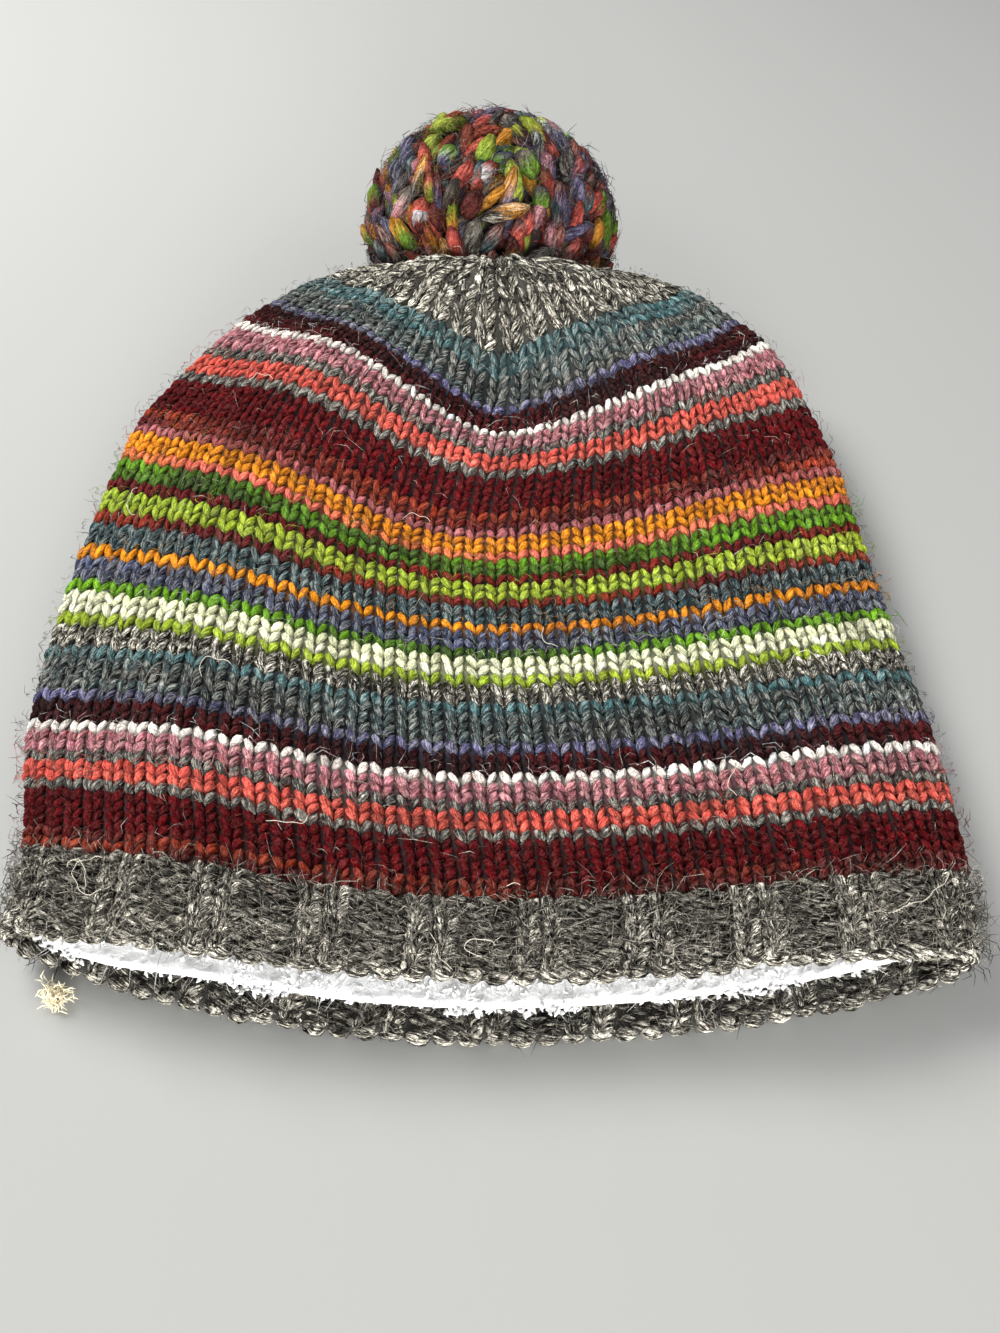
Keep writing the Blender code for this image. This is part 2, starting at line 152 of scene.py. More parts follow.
def smooth_table(places, values, where):
    """Monotone cubic curve through a short table, read at many places."""
    places = np.asarray(places, float)
    values = np.asarray(values, float)
    steps = np.diff(places)
    slopes = np.diff(values) / steps
    tangents = np.zeros_like(values)
    tangents[0] = slopes[0]
    tangents[-1] = slopes[-1]
    for i in range(1, len(values) - 1):
        if slopes[i - 1] * slopes[i] > 0.0:
            tangents[i] = 2.0 * slopes[i - 1] * slopes[i] / (slopes[i - 1] + slopes[i])
    i = np.clip(np.searchsorted(places, where) - 1, 0, len(steps) - 1)
    t = (where - places[i]) / steps[i]
    return ((2 * t**3 - 3 * t**2 + 1) * values[i] + (t**3 - 2 * t**2 + t) * steps[i] * tangents[i]
            + (-2 * t**3 + 3 * t**2) * values[i + 1] + (t**3 - t**2) * steps[i] * tangents[i + 1])


def ramp(course, none_at, full_at):
    return np.clip((course - none_at) / (full_at - none_at), 0.0, 1.0)


def unit(ways):
    """Ways scaled to length one."""
    return ways / np.linalg.norm(ways, axis=-1, keepdims=True)


LOOP_SAMPLES = 1200
TABLE_COURSES = 200
TABLE_TURNS = 400


def loop_at(course):
    """Evenly spaced points of one closed loop: right edge, over the top, left edge, underneath."""
    (_, left, right, edge_left, edge_right, edge_height, top_at, top_height, under_at,
     under_height, roundness, bow_left, bow_right) = [
        float(smooth_table([row[0] for row in SECTIONS], [row[k] for row in SECTIONS], course))
        for k in range(13)]
    angle = np.linspace(0.0, 2.0 * np.pi, LOOP_SAMPLES + 1)
    across = np.sign(np.cos(angle)) * np.abs(np.cos(angle)) ** (2.0 / roundness)
    rise = np.sign(np.sin(angle)) * np.abs(np.sin(angle)) ** (2.0 / roundness)
    reach = np.where(across < 0.0, left, right) * HALF_WIDTH
    edge_at = np.where(across < 0.0, edge_left, edge_right)
    bow = np.abs(across) ** np.where(across < 0.0, bow_left, bow_right)
    upper = rise >= 0.0
    middle_at = np.where(upper, top_at, under_at)
    along = (middle_at + (edge_at - middle_at) * bow - 0.5) * BODY_LENGTH
    press = FLOOR_PRESS * ramp(course, 0.95, 0.80)
    top_rise = (top_height - edge_height) * BODY_DEPTH
    under_drop = (edge_height - under_height) * BODY_DEPTH + press
    height = edge_height * BODY_DEPTH + np.where(upper, rise * top_rise, rise * under_drop)
    upper_share = np.clip(rise, 0.0, 1.0) ** 2 * (1.0 - np.abs(across) ** 8)
    for dent_across, dent_course, reach_across, reach_course, depth in DENTS:
        off = ((across - dent_across) / reach_across) ** 2 + ((course - dent_course) / reach_course) ** 2
        height = height - upper_share * depth * BODY_DEPTH * np.exp(-off)
    loop = np.stack([across * reach, along, np.maximum(height, 0.0)], axis=1)
    half = LOOP_SAMPLES // 2
    spread = []
    for part in (loop[:half + 1], loop[half:]):
        walked = np.concatenate([[0.0], np.cumsum(np.linalg.norm(np.diff(part, axis=0), axis=1))])
        stops = np.linspace(0.0, walked[-1], TABLE_TURNS // 2 + 1)[:-1]
        spread.append(np.stack([np.interp(stops, walked, part[:, k]) for k in range(3)], axis=1))
    return np.concatenate(spread)


table_courses = np.linspace(0.0, 1.0, TABLE_COURSES + 1)
skin_table = np.array([loop_at(course) for course in table_courses])
round_ways = np.roll(skin_table, -1, axis=1) - np.roll(skin_table, 1, axis=1)
up_ways = np.gradient(skin_table, axis=0)
out_table = unit(np.cross(up_ways, round_ways))
pleat_turns = np.arange(TABLE_TURNS) / TABLE_TURNS
pleat_growth = ramp(table_courses, 0.78, 0.88) * ramp(table_courses, 1.0, 0.92)
pleats = PLEAT_DEPTH * pleat_growth[:, None] * np.cos(2.0 * np.pi * PLEATS * pleat_turns)[None, :]
skin_table = skin_table + out_table * pleats[:, :, None]

# Creases that run down from the gather where the cloth is drawn in, and the rolls between them
CREASES = (
    # turn, reach in turns, middle course, reach in courses, depth
    (0.250, 0.140, 0.975, 0.035, -0.0045),
    (0.245, 0.020, 0.930, 0.085, 0.0026),
    (0.170, 0.022, 0.945, 0.050, 0.0018),
    (0.330, 0.022, 0.950, 0.050, 0.0020),
    (0.285, 0.020, 0.955, 0.045, -0.0030),
    (0.205, 0.020, 0.955, 0.045, -0.0026),
    (0.390, 0.030, 0.960, 0.040, -0.0014),
    (0.120, 0.030, 0.960, 0.040, -0.0012),
)
for turn, reach_turn, course, reach_course, depth in CREASES:
    across = (pleat_turns - turn) / reach_turn
    along = (table_courses - course) / reach_course
    fold = depth * np.exp(-(across[None, :] ** 2 + along[:, None] ** 2))
    skin_table = skin_table - out_table * fold[:, :, None]


def read_table(table, course, turn):
    """A table of the tube, read between its points at arrays of courses and turns."""
    row = np.clip(np.asarray(course, float), 0.0, 1.0) * TABLE_COURSES
    low = np.minimum(row.astype(int), TABLE_COURSES - 1)
    row_share = (row - low)[..., None]
    column = np.mod(np.asarray(turn, float), 1.0) * TABLE_TURNS
    left = column.astype(int) % TABLE_TURNS
    right = (left + 1) % TABLE_TURNS
    column_share = (column - np.floor(column))[..., None]
    lower = table[low, left] * (1 - column_share) + table[low, right] * column_share
    upper = table[low + 1, left] * (1 - column_share) + table[low + 1, right] * column_share
    return lower * (1 - row_share) + upper * row_share


def on_skin(course, turn, lift=0.0):
    """Points on the knitted tube and its outward ways, lifted off it by lift metres."""
    out = unit(read_table(out_table, course, turn))
    return read_table(skin_table, course, turn) + out * np.asarray(lift)[..., None], out


# The stripes, from the brim up, in rows of knitting. Marl is how strongly pale fibres fleck it.
DYES = {
    # name: (red, green, blue as they look), marl, dye it drifts towards, largest share of that
    "grey_marl": ((90, 86, 78), 1.0, "charcoal", 0.4),
    "bright_marl": ((98, 94, 84), 1.0, "grey_marl", 0.5),
    "mauve": ((164, 88, 92), 0.12, "rust", 0.6),
    "rust": ((138, 44, 20), 0.08, "crimson", 1.0),
    "crimson": ((86, 4, 11), 0.0, "maroon", 0.7),
    "grey": ((96, 92, 86), 0.50, "charcoal", 0.5),
    "coral": ((208, 80, 68), 0.10, "salmon", 0.5),
    "pink": ((180, 112, 122), 0.34, "mauve", 0.6),
    "cream": ((248, 240, 228), 0.0, "pink", 0.12),
    "burgundy": ((40, 3, 9), 0.02, "maroon", 0.5),
    "periwinkle": ((92, 90, 130), 0.34, "charcoal", 0.5),
    "charcoal": ((62, 66, 66), 0.40, "teal", 0.3),
    "teal": ((62, 104, 108), 0.34, "charcoal", 0.5),
    "lime": ((162, 180, 44), 0.14, "green", 0.25),
    "yellow_cream": ((252, 252, 212), 0.0, "lime", 0.2),
    "green": ((102, 154, 20), 0.08, "dark_green", 0.95),
    "dark_green": ((46, 70, 18), 0.10, "dark_green", 0.0),
    "slate_blue": ((68, 76, 106), 0.30, "charcoal", 0.4),
    "orange": ((230, 142, 18), 0.06, "rust", 0.30),
    "slate_teal": ((46, 76, 82), 0.32, "charcoal", 0.5),
    "maroon": ((88, 10, 16), 0.03, "rust", 0.4),
    "salmon": ((226, 106, 86), 0.10, "orange", 0.4),
}
STRIPES = (
    # dye, rows
    ("grey_marl", 8), ("rust", 2), ("crimson", 4), ("grey", 1), ("coral", 2), ("grey", 1),
    ("pink", 2), ("cream", 1), ("burgundy", 2), ("periwinkle", 1), ("charcoal", 3), ("teal", 1),
    ("bright_marl", 2), ("lime", 1), ("yellow_cream", 2), ("green", 1), ("slate_blue", 2),
    ("orange", 1), ("slate_teal", 2), ("rust", 1), ("lime", 2), ("maroon", 1), ("green", 2),
    ("salmon", 1), ("orange", 2), ("mauve", 1), ("rust", 2), ("crimson", 4), ("grey", 1),
    ("coral", 2), ("grey", 1), ("pink", 2), ("cream", 1), ("burgundy", 3), ("periwinkle", 1),
    ("charcoal", 3), ("teal", 2), ("bright_marl", 8),
)
ROWS = sum(rows for _, rows in STRIPES)
row_dyes = [dye for dye, rows in STRIPES for _ in range(rows)]
BAND_ROWS = 8


def linear(colour):
    """A colour as it looks, 0 to 255, in the renderer's linear light."""
    share = np.asarray(colour, float) / 255.0
    return np.where(share <= 0.04045, share / 12.92, ((share + 0.055) / 1.055) ** 2.4)


def mesh_piece(name, points, faces, material):
    mesh = bpy.data.meshes.new(name)
    mesh.from_pydata([tuple(point) for point in points], [], faces)
    mesh.materials.append(material)
    piece = bpy.data.objects.new(name, mesh)
    bpy.context.scene.collection.objects.link(piece)
    mesh.shade_smooth()
    return piece


def give_attribute(mesh, name, kind, values):
    """Stores one value per point: kind is FLOAT, FLOAT_VECTOR or FLOAT_COLOR."""
    attribute = mesh.attributes.new(name, kind, "POINT")
    key = {"FLOAT": "value", "FLOAT_VECTOR": "vector", "FLOAT_COLOR": "color"}[kind]
    attribute.data.foreach_set(key, np.asarray(values, np.float32).ravel())


def opaque(colours):
    return np.concatenate([colours, np.ones((len(colours), 1))], axis=1)


def tree_nodes(material):
    """A material's node tree and its shader."""
    material.use_nodes = True
    tree = material.node_tree
    return tree, tree.nodes["Principled BSDF"]


def add_operation(tree, kind, operation, values):
    """A Math or Vector Math node; a value is a socket to link or a value to set."""
    node = tree.nodes.new(kind)
    node.operation = operation
    for socket, value in zip(node.inputs, values):
        if isinstance(value, bpy.types.NodeSocket):
            tree.links.new(value, socket)
        else:
            socket.default_value = value
    return node.outputs[0]


def add_math(tree, operation, *values):
    return add_operation(tree, "ShaderNodeMath", operation, values)


def add_vector_math(tree, operation, *values):
    return add_operation(tree, "ShaderNodeVectorMath", operation, values)


def add_range(tree, value, low, high, to_low=0.0, to_high=1.0):
    """A Map Range node from low and high to to_low and to_high."""
    node = tree.nodes.new("ShaderNodeMapRange")
    for name, number in (("From Min", low), ("From Max", high), ("To Min", to_low), ("To Max", to_high)):
        node.inputs[name].default_value = number
    tree.links.new(value, node.inputs["Value"])
    return node


def add_mix(tree, factor, first, second, blend="MIX"):
    """A colour Mix node; an input is a socket to link or a value to set."""
    node = tree.nodes.new("ShaderNodeMix")
    node.data_type = "RGBA"
    node.blend_type = blend
    for socket, value in ((node.inputs[0], factor), (node.inputs[6], first), (node.inputs[7], second)):
        if isinstance(value, bpy.types.NodeSocket):
            tree.links.new(value, socket)
        else:
            socket.default_value = value
    return node.outputs[2]


def add_shade(tree, colour, value):
    """A colour times one value."""
    grey = tree.nodes.new("ShaderNodeCombineColor")
    for socket in grey.inputs[:3]:
        tree.links.new(value, socket)
    return add_mix(tree, 1.0, colour, grey.outputs[0], "MULTIPLY")


def add_noise(tree, vector, scale, detail, roughness, output="Fac"):
    node = tree.nodes.new("ShaderNodeTexNoise")
    node.inputs["Scale"].default_value = scale
    node.inputs["Detail"].default_value = detail
    node.inputs["Roughness"].default_value = roughness
    tree.links.new(vector, node.inputs["Vector"])
    return node.outputs[output]


def add_attribute(tree, name, output):
    node = tree.nodes.new("ShaderNodeAttribute")
    node.attribute_name = name
    return node.outputs[output]


def add_bump(tree, shader, height, strength, distance):
    node = tree.nodes.new("ShaderNodeBump")
    node.inputs["Strength"].default_value = strength
    node.inputs["Distance"].default_value = distance
    tree.links.new(height, node.inputs["Height"])
    tree.links.new(node.outputs["Normal"], shader.inputs["Normal"])


# The yarn is read in each strand's own coordinates: fibres run along its Y, slanting round it.
yarn = bpy.data.materials.new("wool_yarn")
tree, shader = tree_nodes(yarn)
strand = add_attribute(tree, "strand", "Vector")
chance = add_attribute(tree, "chance", "Fac")
marl = add_attribute(tree, "marl", "Fac")
parts = tree.nodes.new("ShaderNodeSeparateXYZ")
tree.links.new(strand, parts.inputs[0])
along = parts.outputs["Y"]
# The dye changes into the end dye round the middle of the strand, in streaks.
streaks = add_noise(tree, add_vector_math(tree, "MULTIPLY", strand, (1800.0, 260.0, 1800.0)), 1.0, 2.0, 0.6)
streaky = add_math(tree, "MULTIPLY_ADD", streaks, 0.0050, add_math(tree, "SUBTRACT", along, 0.0025))
change = add_range(tree, streaky, -0.0009, 0.0009).outputs[0]
dye = add_mix(tree, change, add_attribute(tree, "dye", "Color"), add_attribute(tree, "end_dye", "Color"))
angle = add_math(tree, "ARCTAN2", parts.outputs["Z"], parts.outputs["X"])
slant = add_math(tree, "MULTIPLY_ADD", along, 380.0, angle)
place = tree.nodes.new("ShaderNodeCombineXYZ")
tree.links.new(add_math(tree, "MULTIPLY_ADD", chance, 37.0, add_math(tree, "COSINE", slant)), place.inputs["X"])
tree.links.new(add_math(tree, "MULTIPLY", along, 150.0), place.inputs["Y"])
tree.links.new(add_math(tree, "SINE", slant), place.inputs["Z"])
fibres = add_noise(tree, place.outputs[0], 2.7, 3.0, 0.72)
patches = add_noise(tree, place.outputs[0], 0.9, 2.0, 0.5)
lean = add_math(tree, "MULTIPLY_ADD", chance, 0.07, add_math(tree, "MULTIPLY_ADD", patches, 0.35, -0.21))
uneven = add_math(tree, "ADD", fibres, lean)
shade = add_math(tree, "MULTIPLY_ADD", patches, 0.7, 0.62)
shade = add_math(tree, "MULTIPLY_ADD", fibres, 4.4, add_math(tree, "SUBTRACT", shade, 2.2))
shade = add_math(tree, "MAXIMUM", shade, 0.12)
# Each strand is painted darker low on its sides and underneath, and lighter along its top: painted shade
# between the stitches and painted light on their crowns.
painted_top_light_and_side_shade = add_range(tree, parts.outputs["Z"], -0.0007, 0.0013, 0.25, 1.35)
painted_top_light_and_side_shade.interpolation_type = "SMOOTHSTEP"
flecked = add_shade(tree, dye, add_math(tree, "MULTIPLY", shade, painted_top_light_and_side_shade.outputs[0]))
# Marl has pale flecks and dark ones.
for low, high, colour in ((0.515, 0.555, (238, 232, 214)), (0.495, 0.46, (14, 12, 11))):
    fleck = add_math(tree, "MULTIPLY", add_range(tree, uneven, low, high).outputs[0], marl)
    flecked = add_mix(tree, fleck, flecked, (*linear(colour), 1.0))
# Loose fibres lie every way over the strands, some paler than the dye and some darker.
LOOSE_FIBRES = (
    # sense, from, to, colour, share of the colour in the dye, strength
    ("MAXIMUM", 0.57, 0.68, (0.30, 0.26, 0.22, 1.0), 0.20, 0.50),
    ("MINIMUM", 0.41, 0.32, (0.006, 0.005, 0.005, 1.0), 0.75, 0.62),
)
spot = tree.nodes.new("ShaderNodeTexCoord").outputs["Object"]
waves = add_noise(tree, spot, 260.0, 1.0, 0.5, "Color")
bent = add_vector_math(tree, "MULTIPLY_ADD", waves, (0.006, 0.006, 0.006), spot)
loose = []
for heading in (0.5, 1.7, 2.7):
    turned = tree.nodes.new("ShaderNodeVectorRotate")
    turned.inputs["Axis"].default_value = (0.1, 0.2, 1.0)
    turned.inputs["Angle"].default_value = heading
    tree.links.new(bent, turned.inputs["Vector"])
    drawn = add_vector_math(tree, "MULTIPLY", turned.outputs[0], (2100.0, 420.0, 900.0))
    loose.append(add_noise(tree, drawn, 1.0, 1.0, 0.5))
bright = add_mix(tree, 1.0, dye, (1.9, 1.9, 1.9, 1.0), "MULTIPLY")
for sense, low, high, colour, greyed, strength in LOOSE_FIBRES:
    most = add_math(tree, sense, add_math(tree, sense, loose[0], loose[1]), loose[2])
    line = add_math(tree, "MULTIPLY", add_range(tree, most, low, high).outputs[0], strength)
    flecked = add_mix(tree, line, flecked, add_mix(tree, greyed, bright, colour))
blotches = add_math(tree, "MULTIPLY_ADD", add_noise(tree, spot, 70.0, 3.0, 0.6), 1.5, 0.22)
# Marl wool also clumps: in random spots of a few millimetres it is painted darker and paler, as painted shade
# in its hollows and painted light on its pale tufts.
painted_hollow_shade_and_tuft_light = add_math(tree, "MULTIPLY_ADD", add_noise(tree, bent, 420.0, 3.0, 0.65), 6.0, -3.0)
painted_hollow_shade_and_tuft_light = add_math(tree, "MAXIMUM", add_math(tree, "MULTIPLY_ADD", painted_hollow_shade_and_tuft_light, marl, 1.0), 0.10)
coloured = add_shade(tree, add_shade(tree, flecked, blotches), painted_hollow_shade_and_tuft_light)
tree.links.new(coloured, shader.inputs["Base Color"])
shader.inputs["Roughness"].default_value = 0.88
shader.inputs["Specular IOR Level"].default_value = 0.05
add_bump(tree, shader, fibres, 1.0, 0.0010)

# Coarse cloth behind the stitches, in the stripes' colours darkened by the shadow between them
backing = bpy.data.materials.new("cloth_behind_the_stitches")
tree, shader = tree_nodes(backing)
dye = add_attribute(tree, "dye", "Color")
spot = tree.nodes.new("ShaderNodeTexCoord").outputs["Object"]
fuzz = add_noise(tree, spot, 900.0, 3.0, 0.7)
tree.links.new(add_mix(tree, fuzz, (0.01, 0.01, 0.01, 1.0), dye), shader.inputs["Base Color"])
shader.inputs["Roughness"].default_value = 1.0
add_bump(tree, shader, fuzz, 0.8, 0.0008)

BACKING_DEPTH = 0.0016
BACKING_WALL = 0.0018
BACKING_COLUMNS = 100
SHADOW = 0.36
GATHER_ROW = 62
BRIM_ROW = 3
PALE_SHADOW = 0.60


def no_relief(courses, turns):
    return np.zeros(np.shape(turns))


def backing_cloth(name, first_row, last_row, fine, relief=no_relief):
    """Tube of cloth under the rows, with a colour for each row."""
    rows = np.arange((last_row - first_row) * fine + 1) / fine + first_row
    turns = np.arange(BACKING_COLUMNS) / BACKING_COLUMNS
    courses, turn_grid = np.meshgrid(rows / ROWS, turns, indexing="ij")
    lifts = relief(courses, turn_grid) - BACKING_DEPTH
    points, _ = on_skin(courses, turn_grid, lifts)
    inner, _ = on_skin(courses, turn_grid, lifts - BACKING_WALL)
    count = len(rows)
    points = np.concatenate([points.reshape(-1, 3), inner.reshape(-1, 3)])
    points[:, 2] = np.maximum(points[:, 2], 0.0008)
    faces = []
    wall = count * BACKING_COLUMNS
    for i in range(count - 1):
        for j in range(BACKING_COLUMNS):
            a = i * BACKING_COLUMNS + j
            b = i * BACKING_COLUMNS + (j + 1) % BACKING_COLUMNS
            faces.append((a, a + BACKING_COLUMNS, b + BACKING_COLUMNS, b))
            faces.append((wall + a, wall + b, wall + b + BACKING_COLUMNS, wall + a + BACKING_COLUMNS))
    for i, flip in ((0, True), (count - 1, False)):
        for j in range(BACKING_COLUMNS):
            a = i * BACKING_COLUMNS + j
            b = i * BACKING_COLUMNS + (j + 1) % BACKING_COLUMNS
            rim = (a, wall + a, wall + b, b)
            faces.append(rim[::-1] if flip else rim)
    piece = mesh_piece(name, points, faces, backing)
    dyes = np.array([linear(DYES[row_dyes[min(int(row), ROWS - 1)]][0]) for row in rows])
    dyes = dyes * np.where((rows > BRIM_ROW) & (rows < GATHER_ROW), SHADOW, PALE_SHADOW)[:, None]
    both_faces = np.tile(np.repeat(dyes, BACKING_COLUMNS, axis=0), (2, 1))
    give_attribute(piece.data, "dye", "FLOAT_COLOR", opaque(both_faces))
    return piece


# Stitches of the striped body.
# Stockinette: every stitch shows as two plump legs of one strand, which meet in a V. Their upper
# ends tuck behind the V of the next row.
STITCH_WIDTH = 0.0061
ROW_PITCH = BODY_LENGTH / ROWS
LEG_LENGTH = 0.0046
YARN_THICKNESS = 0.0023
LEG_ARCH = 0.0008
LEG_LIFT = -0.0007


def node_input(tree, name, kind, default=None):
    socket = tree.interface.new_socket(name, in_out="INPUT", socket_type=kind)
    if default is not None:
        socket.default_value = default


def named_vector(tree, name):
    node = tree.nodes.new("GeometryNodeInputNamedAttribute")
    node.data_type = "FLOAT_VECTOR"
    node.inputs["Name"].default_value = name
    return node.outputs["Attribute"]


def strand_nodes():
    """Geometry Nodes tree: a short plump strand at each point, turned and sized by the point."""
    tree = bpy.data.node_groups.new("short_strands", "GeometryNodeTree")
    node_input(tree, "Points", "NodeSocketGeometry")
    node_input(tree, "Strand Length", "NodeSocketFloat", 0.0046)
    node_input(tree, "Yarn Thickness", "NodeSocketFloat", 0.0020)
    node_input(tree, "Arch", "NodeSocketFloat", 0.0008)
    node_input(tree, "Blunt Ends", "NodeSocketFloat", 0.45)
    node_input(tree, "End Width", "NodeSocketFloat", 0.28)
    node_input(tree, "Sides", "NodeSocketInt", 6)
    node_input(tree, "Rings", "NodeSocketInt", 4)
    node_input(tree, "Wool", "NodeSocketMaterial")
    tree.interface.new_socket("Strands", in_out="OUTPUT", socket_type="NodeSocketGeometry")
    given = tree.nodes.new("NodeGroupInput").outputs
    link = tree.links.new
    half = add_math(tree, "MULTIPLY", given["Strand Length"], 0.5)
    low = add_math(tree, "MULTIPLY", half, -1.0)
    sunk = add_math(tree, "MULTIPLY", given["Arch"], -1.0)
    bend = tree.nodes.new("GeometryNodeCurveQuadraticBezier")
    bend.inputs["Resolution"].default_value = 16
    for socket, place, height in (("Start", low, sunk), ("Middle", None, given["Arch"]), ("End", half, sunk)):
        corner = tree.nodes.new("ShaderNodeCombineXYZ")
        if place is not None:
            link(place, corner.inputs["Y"])
        link(height, corner.inputs["Z"])
        link(corner.outputs[0], bend.inputs[socket])
    path = tree.nodes.new("GeometryNodeResampleCurve")
    link(bend.outputs[0], path.inputs["Curve"])
    link(add_math(tree, "ADD", given["Rings"], 1.0), path.inputs["Count"])
    share = tree.nodes.new("GeometryNodeSplineParameter").outputs["Factor"]
    rest = add_math(tree, "SUBTRACT", 1.0, share)
    swell = add_math(tree, "MULTIPLY", add_math(tree, "MULTIPLY", share, rest), 4.0)
    swell = add_math(tree, "POWER", swell, given["Blunt Ends"])
    swell = add_math(tree, "MAXIMUM", swell, given["End Width"])
    radius = add_math(tree, "MULTIPLY", swell, add_math(tree, "MULTIPLY", given["Yarn Thickness"], 0.5))
    plump = tree.nodes.new("GeometryNodeSetCurveRadius")
    link(path.outputs[0], plump.inputs["Curve"])
    link(radius, plump.inputs["Radius"])
    ring = tree.nodes.new("GeometryNodeCurvePrimitiveCircle")
    link(given["Sides"], ring.inputs["Resolution"])
    ring.inputs["Radius"].default_value = 1.0
    tube = tree.nodes.new("GeometryNodeCurveToMesh")
    link(plump.outputs[0], tube.inputs["Curve"])
    link(ring.outputs["Curve"], tube.inputs["Profile Curve"])
    tube.inputs["Fill Caps"].default_value = True
    link(radius, tube.inputs["Scale"])
    own = tree.nodes.new("GeometryNodeStoreNamedAttribute")
    own.data_type = "FLOAT_VECTOR"
    own.domain = "POINT"
    own.inputs["Name"].default_value = "strand"
    link(tube.outputs[0], own.inputs["Geometry"])
    link(tree.nodes.new("GeometryNodeInputPosition").outputs[0], own.inputs["Value"])
    turn = tree.nodes.new("FunctionNodeEulerToRotation")
    link(named_vector(tree, "turn"), turn.inputs[0])
    lay = tree.nodes.new("GeometryNodeInstanceOnPoints")
    link(given["Points"], lay.inputs["Points"])
    link(own.outputs[0], lay.inputs["Instance"])
    link(turn.outputs[0], lay.inputs["Rotation"])
    link(named_vector(tree, "size"), lay.inputs["Scale"])
    real = tree.nodes.new("GeometryNodeRealizeInstances")
    link(lay.outputs[0], real.inputs[0])
    soft = tree.nodes.new("GeometryNodeSetShadeSmooth")
    link(real.outputs[0], soft.inputs[0])
    wool = tree.nodes.new("GeometryNodeSetMaterial")
    link(soft.outputs[0], wool.inputs["Geometry"])
    link(given["Wool"], wool.inputs["Material"])
    link(wool.outputs[0], tree.nodes.new("NodeGroupOutput").inputs[0])
    return tree


short_strands = strand_nodes()


def euler_of(long_ways, out_ways):
    """XYZ angles that turn Y along each strand and Z outwards."""
    long_ways = unit(long_ways)
    side_ways = unit(np.cross(long_ways, out_ways))
    up_ways = np.cross(side_ways, long_ways)
    return np.stack([np.arctan2(long_ways[:, 2], up_ways[:, 2]),
                     -np.arcsin(np.clip(side_ways[:, 2], -1.0, 1.0)),
                     np.arctan2(side_ways[:, 1], side_ways[:, 0])], axis=1)


def grow(name, tree, places, attributes, inputs, material):
    """Runs a Geometry Nodes tree on points and returns its result as a plain mesh piece."""
    mesh = bpy.data.meshes.new(name + "_points")
    mesh.from_pydata([tuple(place) for place in places], [], [])
    for key, (kind, values) in attributes.items():
        give_attribute(mesh, key, kind, values)
    points = bpy.data.objects.new(name + "_points", mesh)
    bpy.context.scene.collection.objects.link(points)
    modifier = points.modifiers.new("grow", "NODES")
    modifier.node_group = tree
    sockets = {item.name: item.identifier for item in tree.interface.items_tree
               if item.item_type == "SOCKET"}
    for key, value in {**inputs, "Wool": material}.items():
        modifier[sockets[key]] = value
    result = bpy.data.meshes.new_from_object(points.evaluated_get(bpy.context.evaluated_depsgraph_get()))
    bpy.data.objects.remove(points)
    result.name = name
    for key in ("turn", "size"):
        if key in result.attributes:
            result.attributes.remove(result.attributes[key])
    piece = bpy.data.objects.new(name, result)
    bpy.context.scene.collection.objects.link(piece)
    return piece


def rest_on_floor(piece, least=0.0002):
    """Presses what reaches below the floor flat on it."""
    spots = np.empty(len(piece.data.vertices) * 3, np.float32)
    piece.data.vertices.foreach_get("co", spots)
    spots = spots.reshape(-1, 3)
    spots[:, 2] = np.maximum(spots[:, 2], least)
    piece.data.vertices.foreach_set("co", spots.ravel())


PLACE_JITTER = 0.00013
WAY_JITTER = 0.09
PLUMP_SPREAD = 0.11
SHADE_SPREAD = 0.14


class StrandList:
    """Strands gathered by their two ends, with their colours, for one grow call."""

    def __init__(self, seed):
        self.chance = np.random.default_rng(seed)
        self.columns = []

    def add(self, starts, ends, outs, width, height, dyes, marls, end_dyes=None):
        """Strands from starts to ends; widths, heights, dyes and marls may be one for them all."""
        count = len(starts)
        long_ways = ends - starts
        lengths = np.linalg.norm(long_ways, axis=1)
        middles = 0.5 * (starts + ends) + self.chance.normal(0.0, 1.0, (count, 3)) * PLACE_JITTER
        long_ways = long_ways + WAY_JITTER * lengths[:, None] * self.chance.normal(0.0, 1.0, (count, 3))
        plump = 1.0 + PLUMP_SPREAD * self.chance.normal(0.0, 1.0, count)
        sizes = np.stack([width * plump, lengths / LEG_LENGTH, height * plump], axis=1)
        shade = (1.0 + SHADE_SPREAD * self.chance.normal(0.0, 1.0, count))[:, None]
        end_dyes = np.clip((dyes if end_dyes is None else end_dyes) * shade, 0.0, 1.0)
        self.columns.append((middles, euler_of(long_ways, unit(outs)), sizes, np.clip(dyes * shade, 0.0, 1.0),
                             end_dyes, np.full(count, marls), self.chance.random(count)))

    def lay(self, name, sides, rings, arch, blunt=0.45, thickness=YARN_THICKNESS, material=yarn,
            end_width=0.28):
        middles, turns, sizes, dyes, end_dyes, marls, chances = (
            np.concatenate(column) for column in zip(*self.columns))
        return grow(name, short_strands, middles,
                    {"turn": ("FLOAT_VECTOR", turns), "size": ("FLOAT_VECTOR", sizes),
                     "dye": ("FLOAT_COLOR", opaque(dyes)), "end_dye": ("FLOAT_COLOR", opaque(end_dyes)),
                     "marl": ("FLOAT", marls), "chance": ("FLOAT", chances)},
                    {"Strand Length": LEG_LENGTH, "Yarn Thickness": thickness, "Arch": arch,
                     "Blunt Ends": blunt, "End Width": end_width, "Sides": sides, "Rings": rings}, material)


# Stitches in each row: two are knitted together in three at the first narrowing, and so on
ROUNDS = (
    # from row, stitches round
    (0, 80), (65, 54), (71, 36), (75, 24), (77, 16),
)
# Where a leg starts and ends, in shares of a row and of a stitch from its middle
LEG_FOOT = (-0.42, 0.07)
LEG_HEAD = (1.16, 0.41)
LEG_TUCK = 0.0007


def stitches_round(row):
    return [count for first, count in ROUNDS if row >= first][-1]


